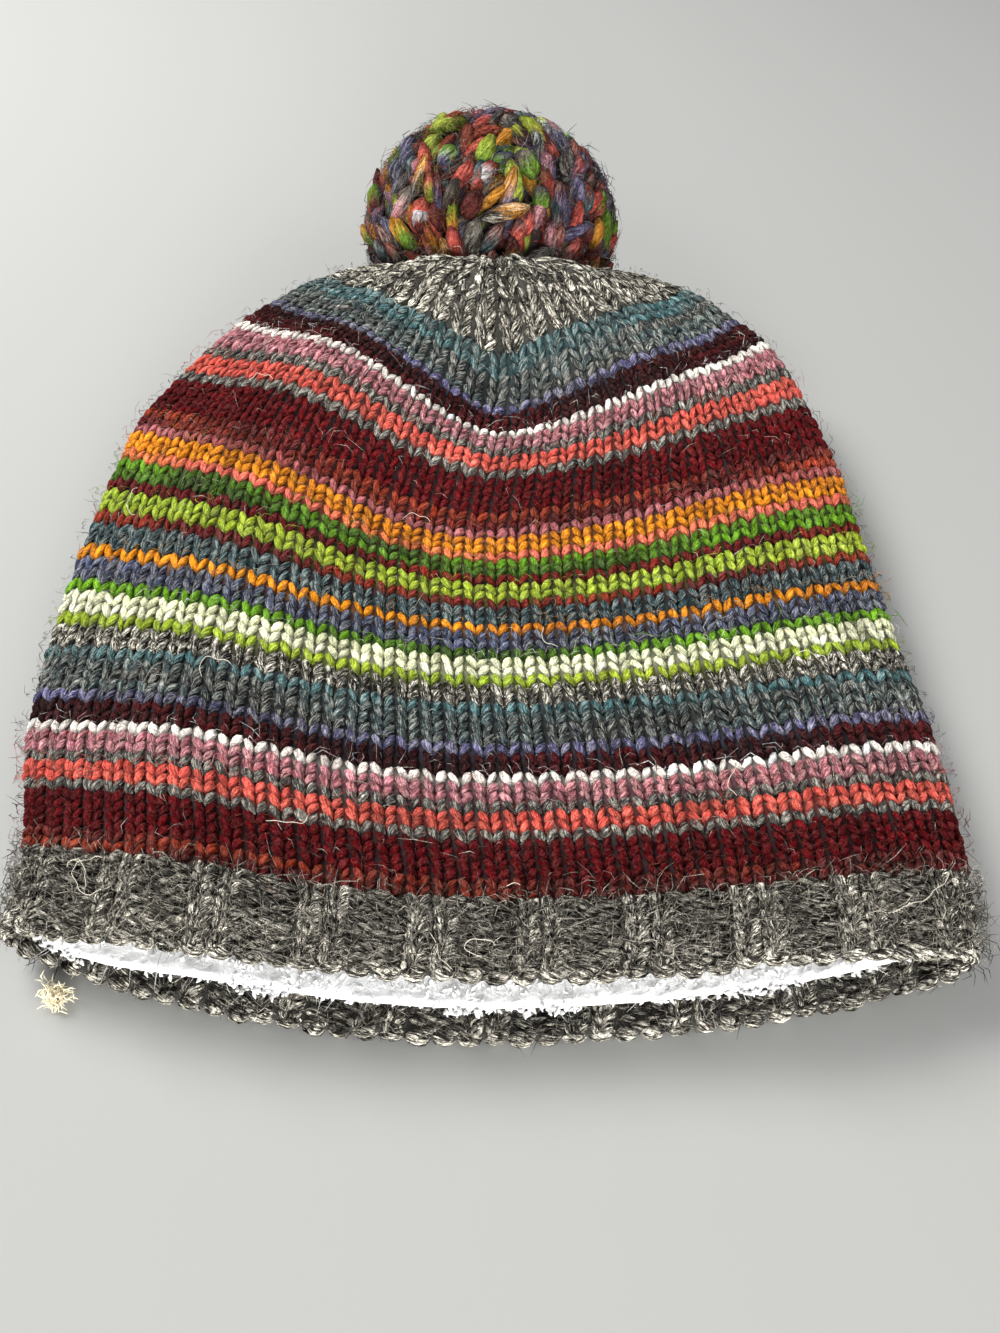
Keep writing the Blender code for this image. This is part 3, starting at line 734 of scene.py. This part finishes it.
def drifting_dyes(row, turns):
    """The row's dye at each place round the hat, drifting towards its neighbour's."""
    colour, _, other, largest = DYES[row_dyes[row]]
    drift = np.array([noise.noise(Vector((9.0 * turn, 0.8 * row, 3.1))) for turn in turns])
    share = (largest * np.clip(0.5 + 2.2 * drift, 0.0, 1.0))[:, None]
    return linear(colour) * (1.0 - share) + linear(DYES[other][0]) * share


def face_lift(courses, turns, relief, inside, sunk=0.0):
    """Lift of a strand on the outer face of the cloth, or on its inner face."""
    if inside:
        return relief(courses, turns) - KNIT_WALL - LEG_LIFT + sunk
    return relief(courses, turns) + LEG_LIFT - sunk


def knit_legs(strands, row, picks, relief=no_relief, inside=False, fuller=1.0):
    """Both legs of the picked plain stitches of one row."""
    count = stitches_round(row)
    middles = np.asarray(picks) + 0.5
    for side in (-1.0, 1.0):
        foot_course = np.full(len(middles), (row + LEG_FOOT[0]) / ROWS)
        head_course = np.full(len(middles), (row + LEG_HEAD[0]) / ROWS)
        foot_turn = (middles + side * LEG_FOOT[1]) / count
        head_turn = (middles + side * LEG_HEAD[1]) / count
        feet, outs = on_skin(foot_course, foot_turn, face_lift(foot_course, foot_turn, relief, inside))
        heads, _ = on_skin(head_course, head_turn, face_lift(head_course, head_turn, relief, inside, LEG_TUCK))
        left, _ = on_skin(foot_course, (middles - 0.5) / count)
        right, _ = on_skin(foot_course, (middles + 0.5) / count)
        width = np.clip(np.linalg.norm(right - left, axis=1) / STITCH_WIDTH, 0.6, 1.45)
        if inside:
            outs = -outs
        strands.add(feet, heads, outs, fuller * width, fuller, drifting_dyes(row, foot_turn),
                    DYES[row_dyes[row]][1])


UPPER_TURNS = (-0.035, 0.535)


def is_upper(turns):
    """Whether a place round the tube is on the panel that faces up, or in the side folds."""
    shifted = np.mod(np.asarray(turns) - UPPER_TURNS[0], 1.0)
    return shifted < UPPER_TURNS[1] - UPPER_TURNS[0]


def stripe_stitches(name, first_row, last_row, upper, sides, rings, seed):
    strands = StrandList(seed)
    for row in range(first_row, last_row):
        picks = np.arange(stitches_round(row))
        chosen = is_upper((picks + 0.5) / stitches_round(row)) == upper
        knit_legs(strands, row, picks[chosen])
    piece = strands.lay(name, sides, rings, LEG_ARCH)
    rest_on_floor(piece)
    return piece


MIDDLE_ROW = 42
stripe_pieces = [
    backing_cloth("cloth_behind_stripes", BAND_ROWS, ROWS, 1),
    stripe_stitches("stripe_stitches_by_the_band", BAND_ROWS, MIDDLE_ROW, True, 5, 4, 11),
    stripe_stitches("stripe_stitches_by_the_gather", MIDDLE_ROW, ROWS, True, 5, 4, 12),
    stripe_stitches("stripe_stitches_underneath", BAND_ROWS, ROWS, False, 4, 2, 13),
]
for piece in stripe_pieces:
    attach(piece, "root")
    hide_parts("striped_crown")


# Ribbed band.
# Grey marl wool, knitted two plain and two purl. The plain pairs stand up as ribs, and between them
# the purl stitches show as rows of small bumps. On the inner face plain and purl change places.
RIB_REPEATS = 20
RIB_DEPTH = 0.0018
BAND_SHARE = 0.10
INNER_ROWS = 4
RIB_RUN_OUT = 0.25
PURL_PLACES = (
    # along the row, from the stitch's middle, in shares of a row and of a stitch
    (0.15, 0.0), (0.65, 0.5),
)
PURL_REACH = 0.46
PURL_WIDTH = 0.80
# Purl bumps are coloured darker than their dye: painted shade in the furrows between the ribs.
PURL_PAINTED_SHADE = 0.6
PURL_MARL = 0.75


def rib_relief(courses, turns):
    fade = ramp(courses, BAND_SHARE, (1.0 - RIB_RUN_OUT) * BAND_SHARE)
    return -0.5 * RIB_DEPTH * fade * np.cos(2.0 * np.pi * RIB_REPEATS * np.asarray(turns))


def purl_bumps(strands, row, picks, relief, inside=False):
    """Two small bumps for each purl stitch, one of them between it and the next."""
    count = stitches_round(row)
    for row_share, stitch_share in PURL_PLACES:
        middles = np.asarray(picks) + 0.5 + stitch_share
        courses = np.full(len(middles), (row + row_share) / ROWS)
        ends = []
        for side in (-1.0, 1.0):
            turns = (middles + side * PURL_REACH) / count
            spots, outs = on_skin(courses, turns, face_lift(courses, turns, relief, inside))
            ends.append(spots)
        if inside:
            outs = -outs
        strands.add(ends[0], ends[1], outs, PURL_WIDTH, PURL_WIDTH,
                    PURL_PAINTED_SHADE * drifting_dyes(row, middles / count), PURL_MARL)


def at_brim(turns, lift):
    """Places on the first course, and the way straight on from the cloth there."""
    first, _ = on_skin(np.zeros(len(turns)), turns, lift)
    second, _ = on_skin(np.full(len(turns), 0.01), turns, lift)
    return first, unit(first - second)


def rib_stitches(name, upper, sides, rings, seed):
    strands = StrandList(seed)
    picks = np.arange(stitches_round(0))
    chosen = is_upper((picks + 0.5) / len(picks)) == upper
    plain = np.isin(picks % 4, (1, 2))
    for row in range(BAND_ROWS):
        knit_legs(strands, row, picks[chosen & plain], rib_relief, fuller=1.22)
        purl_bumps(strands, row, picks[chosen & ~plain], rib_relief)
    return strands.lay(name, sides, rings, LEG_ARCH)


def brim_stitches(name, sides, rings, seed):
    """The inner face of the first rows and the cast-on edge, where the cloth turns over."""
    strands = StrandList(seed)
    picks = np.arange(stitches_round(0))
    plain = np.isin(picks % 4, (1, 2))
    for row in range(INNER_ROWS):
        knit_legs(strands, row, picks[~plain], rib_relief, inside=True)
        purl_bumps(strands, row, picks[plain], rib_relief, inside=True)
    for outer_lift, inner_lift in ((-0.0008, -0.0018), (-0.0022, -0.0032)):
        middle_relief = rib_relief(np.zeros(len(picks)), (picks + 0.5) / len(picks))
        starts, onward = at_brim((picks + 0.02) / len(picks), middle_relief + outer_lift)
        ends, _ = at_brim((picks + 0.98) / len(picks), middle_relief + inner_lift)
        strands.add(starts, ends, onward, 1.0, 1.0, linear(DYES["grey_marl"][0]), DYES["grey_marl"][1])
    return strands.lay(name, sides, rings, LEG_ARCH, thickness=1.3 * YARN_THICKNESS)


rib_pieces = [
    backing_cloth("cloth_behind_rib", 0, BAND_ROWS, 2, rib_relief),
    rib_stitches("rib_stitches", True, 7, 5, 21),
    rib_stitches("rib_stitches_underneath", False, 5, 3, 22),
    brim_stitches("brim_stitches", 6, 4, 23),
]
for piece in rib_pieces:
    rest_on_floor(piece)
    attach(piece, "root")
    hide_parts("ribbed_band")

# Fleece lining.
# A band of white fleece inside the opening, sewn in a little back from the brim. Its pile stands up
# in small nubs, most of all along its front edge.
LINING_SETBACK = 0.0065
LINING_DEPTH = 0.070
LINING_INSET = KNIT_WALL + CLEARANCE + 0.7 * RIB_DEPTH
LINING_WALL = 0.0030
NUB_HEIGHT = 0.0019
NUB_SIZE = 0.0016
LINING_COLUMNS = 360
LINING_FACE_RINGS = 26

fleece = bpy.data.materials.new("fleece")
tree, shader = tree_nodes(fleece)
spot = tree.nodes.new("ShaderNodeTexCoord").outputs["Object"]
pile = add_noise(tree, spot, 1400.0, 4.0, 0.7)
tree.links.new(add_mix(tree, pile, (0.96, 0.955, 0.94, 1.0), (1.0, 1.0, 1.0, 1.0)), shader.inputs["Base Color"])
shader.inputs["Roughness"].default_value = 1.0
shader.inputs["Sheen Weight"].default_value = 0.4
add_bump(tree, shader, pile, 0.8, 0.0006)


def nubs(point):
    """Height of the pile at a place, 0 to 1: round knots of a few sizes."""
    knot = 1.0 - min(noise.voronoi(point / NUB_SIZE)[0][0], 1.0)
    small = 0.5 + 0.5 * noise.noise(point / (0.35 * NUB_SIZE))
    return 0.75 * knot + 0.25 * small


def forward_fleece(turns):
    """How far forward the fleece bulges at the left end of the opening, in courses."""
    return 0.016 * np.exp(-((turns - 0.545) / 0.050) ** 2)


front = LINING_SETBACK / BODY_LENGTH
back = front + LINING_DEPTH / BODY_LENGTH
face_shares = (np.arange(LINING_FACE_RINGS) / (LINING_FACE_RINGS - 1)) ** 1.5
profile = [(front + (back - front) * share, -LINING_INSET - LINING_WALL, 1.0) for share in face_shares]
profile += [(front + (back - front) * share, -LINING_INSET, 0.0) for share in (1.0, 0.6, 0.3, 0.1)]
profile += [(front - ahead, -LINING_INSET - deep * LINING_WALL, pile_share)
            for ahead, deep, pile_share in ((0.002, 0.2, 0.7), (0.004, 0.5, 1.0), (0.003, 0.85, 1.0))]
turns = np.arange(LINING_COLUMNS) / LINING_COLUMNS
points = []
for course, lift, pile_share in profile:
    courses = course - forward_fleece(turns) * ramp(course, front + 0.05, front)
    ring, outs = on_skin(courses, turns, np.full(LINING_COLUMNS, lift))
    if pile_share > 0.0:
        heights = np.array([nubs(Vector(spot)) for spot in ring]) * NUB_HEIGHT * pile_share
        ring = ring - outs * heights[:, None]
    points.append(ring)
points = np.concatenate(points)
rings = len(profile)
faces = [(i * LINING_COLUMNS + j, i * LINING_COLUMNS + (j + 1) % LINING_COLUMNS,
          (i + 1) % rings * LINING_COLUMNS + (j + 1) % LINING_COLUMNS, (i + 1) % rings * LINING_COLUMNS + j)
         for i in range(rings) for j in range(LINING_COLUMNS)]
lining = mesh_piece("fleece_pile", points, faces, fleece)


def fleece_tufts(name, count, length, thickness, sides, rings, rise, seed):
    """Short white tufts, thickest along the lining's front edge."""
    tufts = StrandList(seed)
    low = tufts.chance.random(count) < 0.80
    turns = np.where(low, 0.47 + 0.56 * tufts.chance.random(count), tufts.chance.random(count))
    deep = np.abs(tufts.chance.normal(0.0, 0.034, count))
    waves = 0.006 * np.sin(37.0 * turns) * np.sin(91.0 * turns)
    courses = front - 0.003 - forward_fleece(turns) + waves + deep
    at_front = np.clip(1.0 - deep / 0.016, 0.0, 1.0)
    lifts = -LINING_INSET - LINING_WALL * (1.0 - at_front * tufts.chance.random(count))
    roots, outs = on_skin(courses, turns, lifts)
    ahead, _ = on_skin(courses - 0.02, turns, lifts)
    forward = unit(ahead - roots)
    way = unit(tufts.chance.normal(0.0, 1.0, (count, 3)) + (forward * at_front[:, None] - outs) * rise)
    lengths = length * (0.6 + 0.8 * tufts.chance.random(count))
    tufts.add(roots, roots + way * lengths[:, None], forward - outs + 0.3 * way, 1.0, 1.0,
              linear((250, 249, 246)), 0.0)
    return tufts.lay(name, sides, rings, 0.0004, thickness=thickness, material=fleece)


for piece in (lining, fleece_tufts("fleece_tufts", 4600, 0.0016, 0.0011, 4, 2, 0.7, 61),
              fleece_tufts("fleece_hairs", 900, 0.0042, 0.00016, 3, 2, 1.0, 62)):
    rest_on_floor(piece)
    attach(piece, "root")
    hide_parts("fleece_lining")

# Bobble.
# A pompom of the same wools: lengths of yarn tied at the gather and cut, so they fan out and lie
# over one another, slanting back to the tie. They flatten a little on the floor.
BOBBLE_WIDTH = 0.0880
BOBBLE_LENGTH = 0.0800
BOBBLE_DEPTH = 0.0750
BOBBLE_HEIGHT = 0.0410
BOBBLE_SIDE = -0.001
BOBBLE_NECK = 0.0040
LOCK_SLANT = 0.60
LOCK_PARTING = 0.15
LOCK_LAYERS = (
    # locks, depth under the surface, length, thickness, tilt outwards
    (340, 0.0030, 0.0150, 0.0066, 0.06),
    (430, -0.0006, 0.0125, 0.0054, 0.16),
)
DYE_CHANGES = 0.70
LOCK_MARL = 0.45
FELTED = 0.56
MIXED_WOOL = linear((128, 100, 88))
MIXED_SHARE = 0.16
PALEST_LOCK = 0.34
WOOL_MIX = (
    # dye, share of the locks
    ("lime", 9), ("teal", 8), ("periwinkle", 9), ("orange", 9), ("rust", 10), ("burgundy", 8),
    ("crimson", 12), ("coral", 12), ("pink", 8), ("charcoal", 6), ("grey_marl", 6), ("cream", 3),
    ("green", 7), ("slate_blue", 4),
)
gather_at = 0.5 * BODY_LENGTH
reach = np.array([0.5 * BOBBLE_WIDTH, 0.5 * BOBBLE_LENGTH, 0.5 * BOBBLE_DEPTH])
centre = np.array([BOBBLE_SIDE, gather_at + BOBBLE_NECK + reach[1], BOBBLE_HEIGHT])
tie_way = unit(np.array([0.0, gather_at, GATHER_HEIGHT]) - centre)

# A core under the locks fills the bobble; its near-black colour is painted shade showing in the gaps between
# the locks.
bpy.ops.mesh.primitive_uv_sphere_add(segments=48, ring_count=32, radius=1.0)
heart = bpy.context.object
heart.name = "bobble_heart"
for vertex in heart.data.vertices:
    way = np.array(vertex.co)
    vertex.co = centre + way * (reach - 0.004)
heart.data.shade_smooth()
heart.data.materials.append(backing)
give_attribute(heart.data, "dye", "FLOAT_COLOR", [(0.05, 0.03, 0.03, 1.0)] * len(heart.data.vertices))


def felted(names):
    """Dyes of the locks, a little greyed by the stray fibres of all the others."""
    dyes = np.array([linear(DYES[name][0]) for name in names])
    return np.minimum(FELTED * (dyes * (1.0 - MIXED_SHARE) + MIXED_WOOL * MIXED_SHARE), PALEST_LOCK)


strands = StrandList(31)
lock_places = []
lock_dyes = []
mix_names = [name for name, _ in WOOL_MIX]
mix_shares = np.array([share for _, share in WOOL_MIX], float)
mix_shares = mix_shares / mix_shares.sum()
golden = math.pi * (3.0 - math.sqrt(5.0))
for layer, (count, depth, length, thickness, tilt) in enumerate(LOCK_LAYERS):
    order = np.arange(count)
    level = 1.0 - 2.0 * (order + 0.5) / count
    ring = np.sqrt(1.0 - level ** 2)
    spiral = golden * order + layer
    ways = np.stack([ring * np.cos(spiral), ring * np.sin(spiral), level], axis=1)
    ways = unit(ways + 0.05 * strands.chance.normal(0.0, 1.0, ways.shape))
    away = unit(ways / reach)
    to_tie = unit(tie_way - away * (away @ tie_way)[:, None])
    slants = np.where(ways[:, 0] > LOCK_PARTING, LOCK_SLANT, -LOCK_SLANT)
    sway = slants + 0.30 * strands.chance.normal(0.0, 1.0, count)
    long_way = to_tie * np.cos(sway)[:, None] + np.cross(away, to_tie) * np.sin(sway)[:, None]
    rise = tilt + 0.16 * strands.chance.normal(0.0, 1.0, count)
    long_way = long_way * np.cos(rise)[:, None] - away * np.sin(rise)[:, None]
    middles = centre + ways * (reach - depth - 0.0005 * strands.chance.normal(0.0, 1.0, (count, 1)))
    half = 0.5 * length * (1.0 + 0.18 * strands.chance.normal(0.0, 1.0, count))[:, None]
    plump = thickness / YARN_THICKNESS * (1.0 + 0.12 * strands.chance.normal(0.0, 1.0, count))
    names = strands.chance.choice(mix_names, count, p=mix_shares)
    other_names = strands.chance.choice(mix_names, count, p=mix_shares)
    changes = strands.chance.random(count) < DYE_CHANGES
    start_dyes = felted(names)
    lock_places.append(middles)
    lock_dyes.append(start_dyes)
    end_dyes = felted([other if swap else name for name, other, swap in zip(names, other_names, changes)])
    marls = LOCK_MARL * np.array([DYES[name][1] for name in names])
    strands.add(middles + long_way * half, middles - long_way * half, away, plump, 0.8 * plump,
                start_dyes, marls, end_dyes)
locks = strands.lay("bobble_locks", 6, 4, 0.0006, blunt=0.28, end_width=0.42)
for piece in (heart, locks):
    rest_on_floor(piece)
    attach(piece, "root")
    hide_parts("bobble")

# Fuzz.
# Fine loose fibres that stand out of the wool everywhere, longest on the marl band and the bobble.
# They are the yarn's own colours, with some pale ones among them.
FUZZ = (
    # name, hairs, from row, to row, length, thickness, rise, share of pale ones, upper, inner face
    ("fuzz_on_the_stripes", 7200, 8, 79, 0.0035, 0.000190, 0.18, 0.10, True, False),
    ("fuzz_on_the_band", 4800, 0, 8, 0.0034, 0.000210, 0.26, 0.50, True, False),
    ("fuzz_underneath", 700, 0, 79, 0.0036, 0.000170, 0.40, 0.25, False, False),
    ("fuzz_inside_the_brim", 1200, 0, 4, 0.0034, 0.000210, 0.30, 0.40, False, True),
)
PALE_HAIR = linear((226, 218, 200))


def cloth_ways(courses, turns):
    """Unit vectors along the hat and round it, at places on the cloth."""
    along = on_skin(courses + 0.004, turns)[0] - on_skin(courses - 0.004, turns)[0]
    around = on_skin(courses, turns + 0.002)[0] - on_skin(courses, turns - 0.002)[0]
    return unit(along), unit(around)


def add_hairs(strands, roots, outs, first_ways, second_ways, length, rise, colours):
    """Short bent hairs in random directions along a surface, leaning out of it by rise radians."""
    count = len(roots)
    chance = strands.chance
    heading = chance.random(count) * 2.0 * np.pi
    flat = first_ways * np.cos(heading)[:, None] + second_ways * np.sin(heading)[:, None]
    lean = np.abs(chance.normal(rise, 0.6 * rise, count))
    way = flat * np.cos(lean)[:, None] + outs * np.sin(lean)[:, None]
    lengths = length * np.clip(chance.lognormal(-0.1, 0.45, count), 0.35, 2.4)
    ends = roots + way * lengths[:, None]
    thin = chance.random(count) * 0.5 + 0.7
    strands.add(roots, ends, outs + 0.35 * chance.normal(0.0, 1.0, roots.shape), thin,
                np.clip(chance.normal(1.0, 0.35, count), 0.3, 2.0), colours, 0.0)


for seed, (name, count, first_row, last_row, length, thickness, rise, pale_share, upper,
           inside) in enumerate(FUZZ):
    hairs = StrandList(41 + seed)
    courses = first_row / ROWS + hairs.chance.random(4 * count) * (last_row - first_row) / ROWS
    turns = hairs.chance.random(4 * count)
    crowd = np.array([stitches_round(int(row)) for row in courses * ROWS]) / stitches_round(0)
    kept = (hairs.chance.random(4 * count) < crowd) & (is_upper(turns) == upper)
    courses = courses[kept][:count]
    turns = turns[kept][:count]
    relief = rib_relief(courses, turns)
    lifts = 0.0011 + hairs.chance.random(len(turns)) * 0.0010
    roots, outs = on_skin(courses, turns, relief - KNIT_WALL - lifts if inside else relief + lifts)
    if inside:
        outs = -outs
    colours = np.array([linear(DYES[row_dyes[int(row)]][0]) for row in courses * ROWS])
    colours = colours * 1.3 + 0.06 * PALE_HAIR
    pale = hairs.chance.random(len(turns)) < pale_share
    colours[pale] = PALE_HAIR
    along, around = cloth_ways(courses, turns)
    add_hairs(hairs, roots, outs, along, around, length, rise, colours)
    piece = hairs.lay(name, 3, 2, 0.0013, blunt=0.10, thickness=thickness)
    rest_on_floor(piece)
    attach(piece, "root")

BOBBLE_HAIRS = 7700
hairs = StrandList(51)
ways = unit(hairs.chance.normal(0.0, 1.0, (BOBBLE_HAIRS, 3)))
ways = ways[ways @ tie_way < 0.93]
away = unit(ways / reach)
first_ways = unit(np.cross(away, tie_way))
roots = centre + ways * (reach + 0.0016 + 0.0010 * hairs.chance.random((len(ways), 1)))
all_places = np.concatenate(lock_places)
all_dyes = np.concatenate(lock_dyes)
nearest = KDTree(len(all_places))
for index, place in enumerate(all_places):
    nearest.insert(place, index)
nearest.balance()
colours = np.array([all_dyes[nearest.find(root)[1]] for root in roots]) * 1.5 + 0.02
colours[hairs.chance.random(len(ways)) < 0.10] = 0.6 * PALE_HAIR
add_hairs(hairs, roots, away, first_ways, np.cross(away, first_ways), 0.0044, 0.25, colours)
piece = hairs.lay("fuzz_on_the_bobble", 3, 2, 0.0013, blunt=0.10, thickness=0.00023)
rest_on_floor(piece)
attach(piece, "root")

# Stray hairs.
# A few long curly hairs have worked loose and lie over the knitting, and there is one cream tuft of
# lint by the brim on the left.
STRAY_HAIRS = (
    # course, turn, heading in radians from the hat's length, length, curl in radians per metre, lift
    (0.530, 0.462, 2.2, 0.010, 260.0, 0.0018),
    (0.318, 0.386, 0.4, 0.012, -210.0, 0.0020),
    (0.085, 0.430, 1.2, 0.022, 190.0, 0.0022),
    (0.070, 0.452, -0.6, 0.014, -240.0, 0.0020),
    (0.048, 0.276, 3.3, 0.013, 40.0, 0.0020),
    (0.030, 0.246, 0.2, 0.014, 330.0, 0.0024),
    (0.095, 0.030, 2.6, 0.028, -38.0, 0.0020),
    (0.112, 0.234, 1.5, 0.004, 10.0, 0.0018),
    (0.250, 0.120, 1.9, 0.012, 150.0, 0.0020),
    (0.420, 0.200, 1.3, 0.010, -170.0, 0.0019),
    (0.610, 0.270, 0.8, 0.010, 200.0, 0.0019),
    (0.180, 0.330, 2.7, 0.013, -120.0, 0.0020),
    (0.700, 0.400, 1.0, 0.010, 140.0, 0.0019),
    (0.360, 0.060, 0.5, 0.012, 160.0, 0.0020),
)
TUBE_ROUND = STITCH_WIDTH * stitches_round(0)
STRAY_POINTS = 28
stray_curve = bpy.data.curves.new("stray_hairs", "CURVE")
stray_curve.dimensions = "3D"
stray_curve.bevel_depth = 0.00007
stray_curve.bevel_resolution = 0
stray_curve.use_fill_caps = True
for course, turn, heading, length, curl, lift in STRAY_HAIRS:
    walked = np.linspace(0.0, length, STRAY_POINTS)
    way = heading + curl * walked + 0.3 * np.sin(walked * 700.0)
    step = length / STRAY_POINTS
    courses = course + np.cumsum(np.cos(way)) * step / BODY_LENGTH
    turns = turn + np.cumsum(np.sin(way)) * step / TUBE_ROUND
    lifts = lift + 0.0012 * np.sin(walked / length * np.pi) + 0.0004 * np.sin(walked * 1300.0)
    spots, _ = on_skin(np.maximum(courses, 0.0), turns, lifts)
    hair = stray_curve.splines.new("POLY")
    hair.points.add(STRAY_POINTS - 1)
    hair.points.foreach_set("co", np.concatenate([spots, np.ones((STRAY_POINTS, 1))], axis=1).ravel())
laid = bpy.data.objects.new("stray_hairs_path", stray_curve)
bpy.context.scene.collection.objects.link(laid)
stray_mesh = bpy.data.meshes.new_from_object(laid.evaluated_get(bpy.context.evaluated_depsgraph_get()))
bpy.data.objects.remove(laid)
stray_mesh.materials.clear()
pale_hair = bpy.data.materials.new("pale_hair")
tree, shader = tree_nodes(pale_hair)
shader.inputs["Base Color"].default_value = (*PALE_HAIR, 1.0)
shader.inputs["Roughness"].default_value = 0.6
stray_mesh.materials.append(pale_hair)
stray_hairs = bpy.data.objects.new("stray_hairs", stray_mesh)
bpy.context.scene.collection.objects.link(stray_hairs)

lint_wool = bpy.data.materials.new("cream_lint_wool")
tree, shader = tree_nodes(lint_wool)
spot = tree.nodes.new("ShaderNodeTexCoord").outputs["Object"]
wisps = add_noise(tree, spot, 1800.0, 3.0, 0.7)
cream = add_mix(tree, wisps, (0.74, 0.62, 0.36, 1.0), (1.0, 0.96, 0.78, 1.0))
tree.links.new(cream, shader.inputs["Base Color"])
shader.inputs["Roughness"].default_value = 1.0
LINT_AT = np.array([-0.1023, -0.1115, 0.0026])
LINT_STRANDS = 160
LINT_SPREAD = (0.0015, 0.0015, 0.0009)
LINT_LENGTH = 0.0026
lint = StrandList(71)
lint_at = LINT_AT + lint.chance.normal(0.0, 1.0, (LINT_STRANDS, 3)) * LINT_SPREAD
way = unit(lint.chance.normal(0.0, 1.0, (LINT_STRANDS, 3)))
lint.add(lint_at, lint_at + way * LINT_LENGTH, np.array((0.0, 0.0, 1.0)) + 0.1 * way, 1.0, 1.0,
         np.ones(3), 0.0)
tuft = lint.lay("cream_lint", 4, 2, 0.0010, blunt=0.3, thickness=0.00040, material=lint_wool)
for piece in (stray_hairs, tuft):
    rest_on_floor(piece)
    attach(piece, "root")
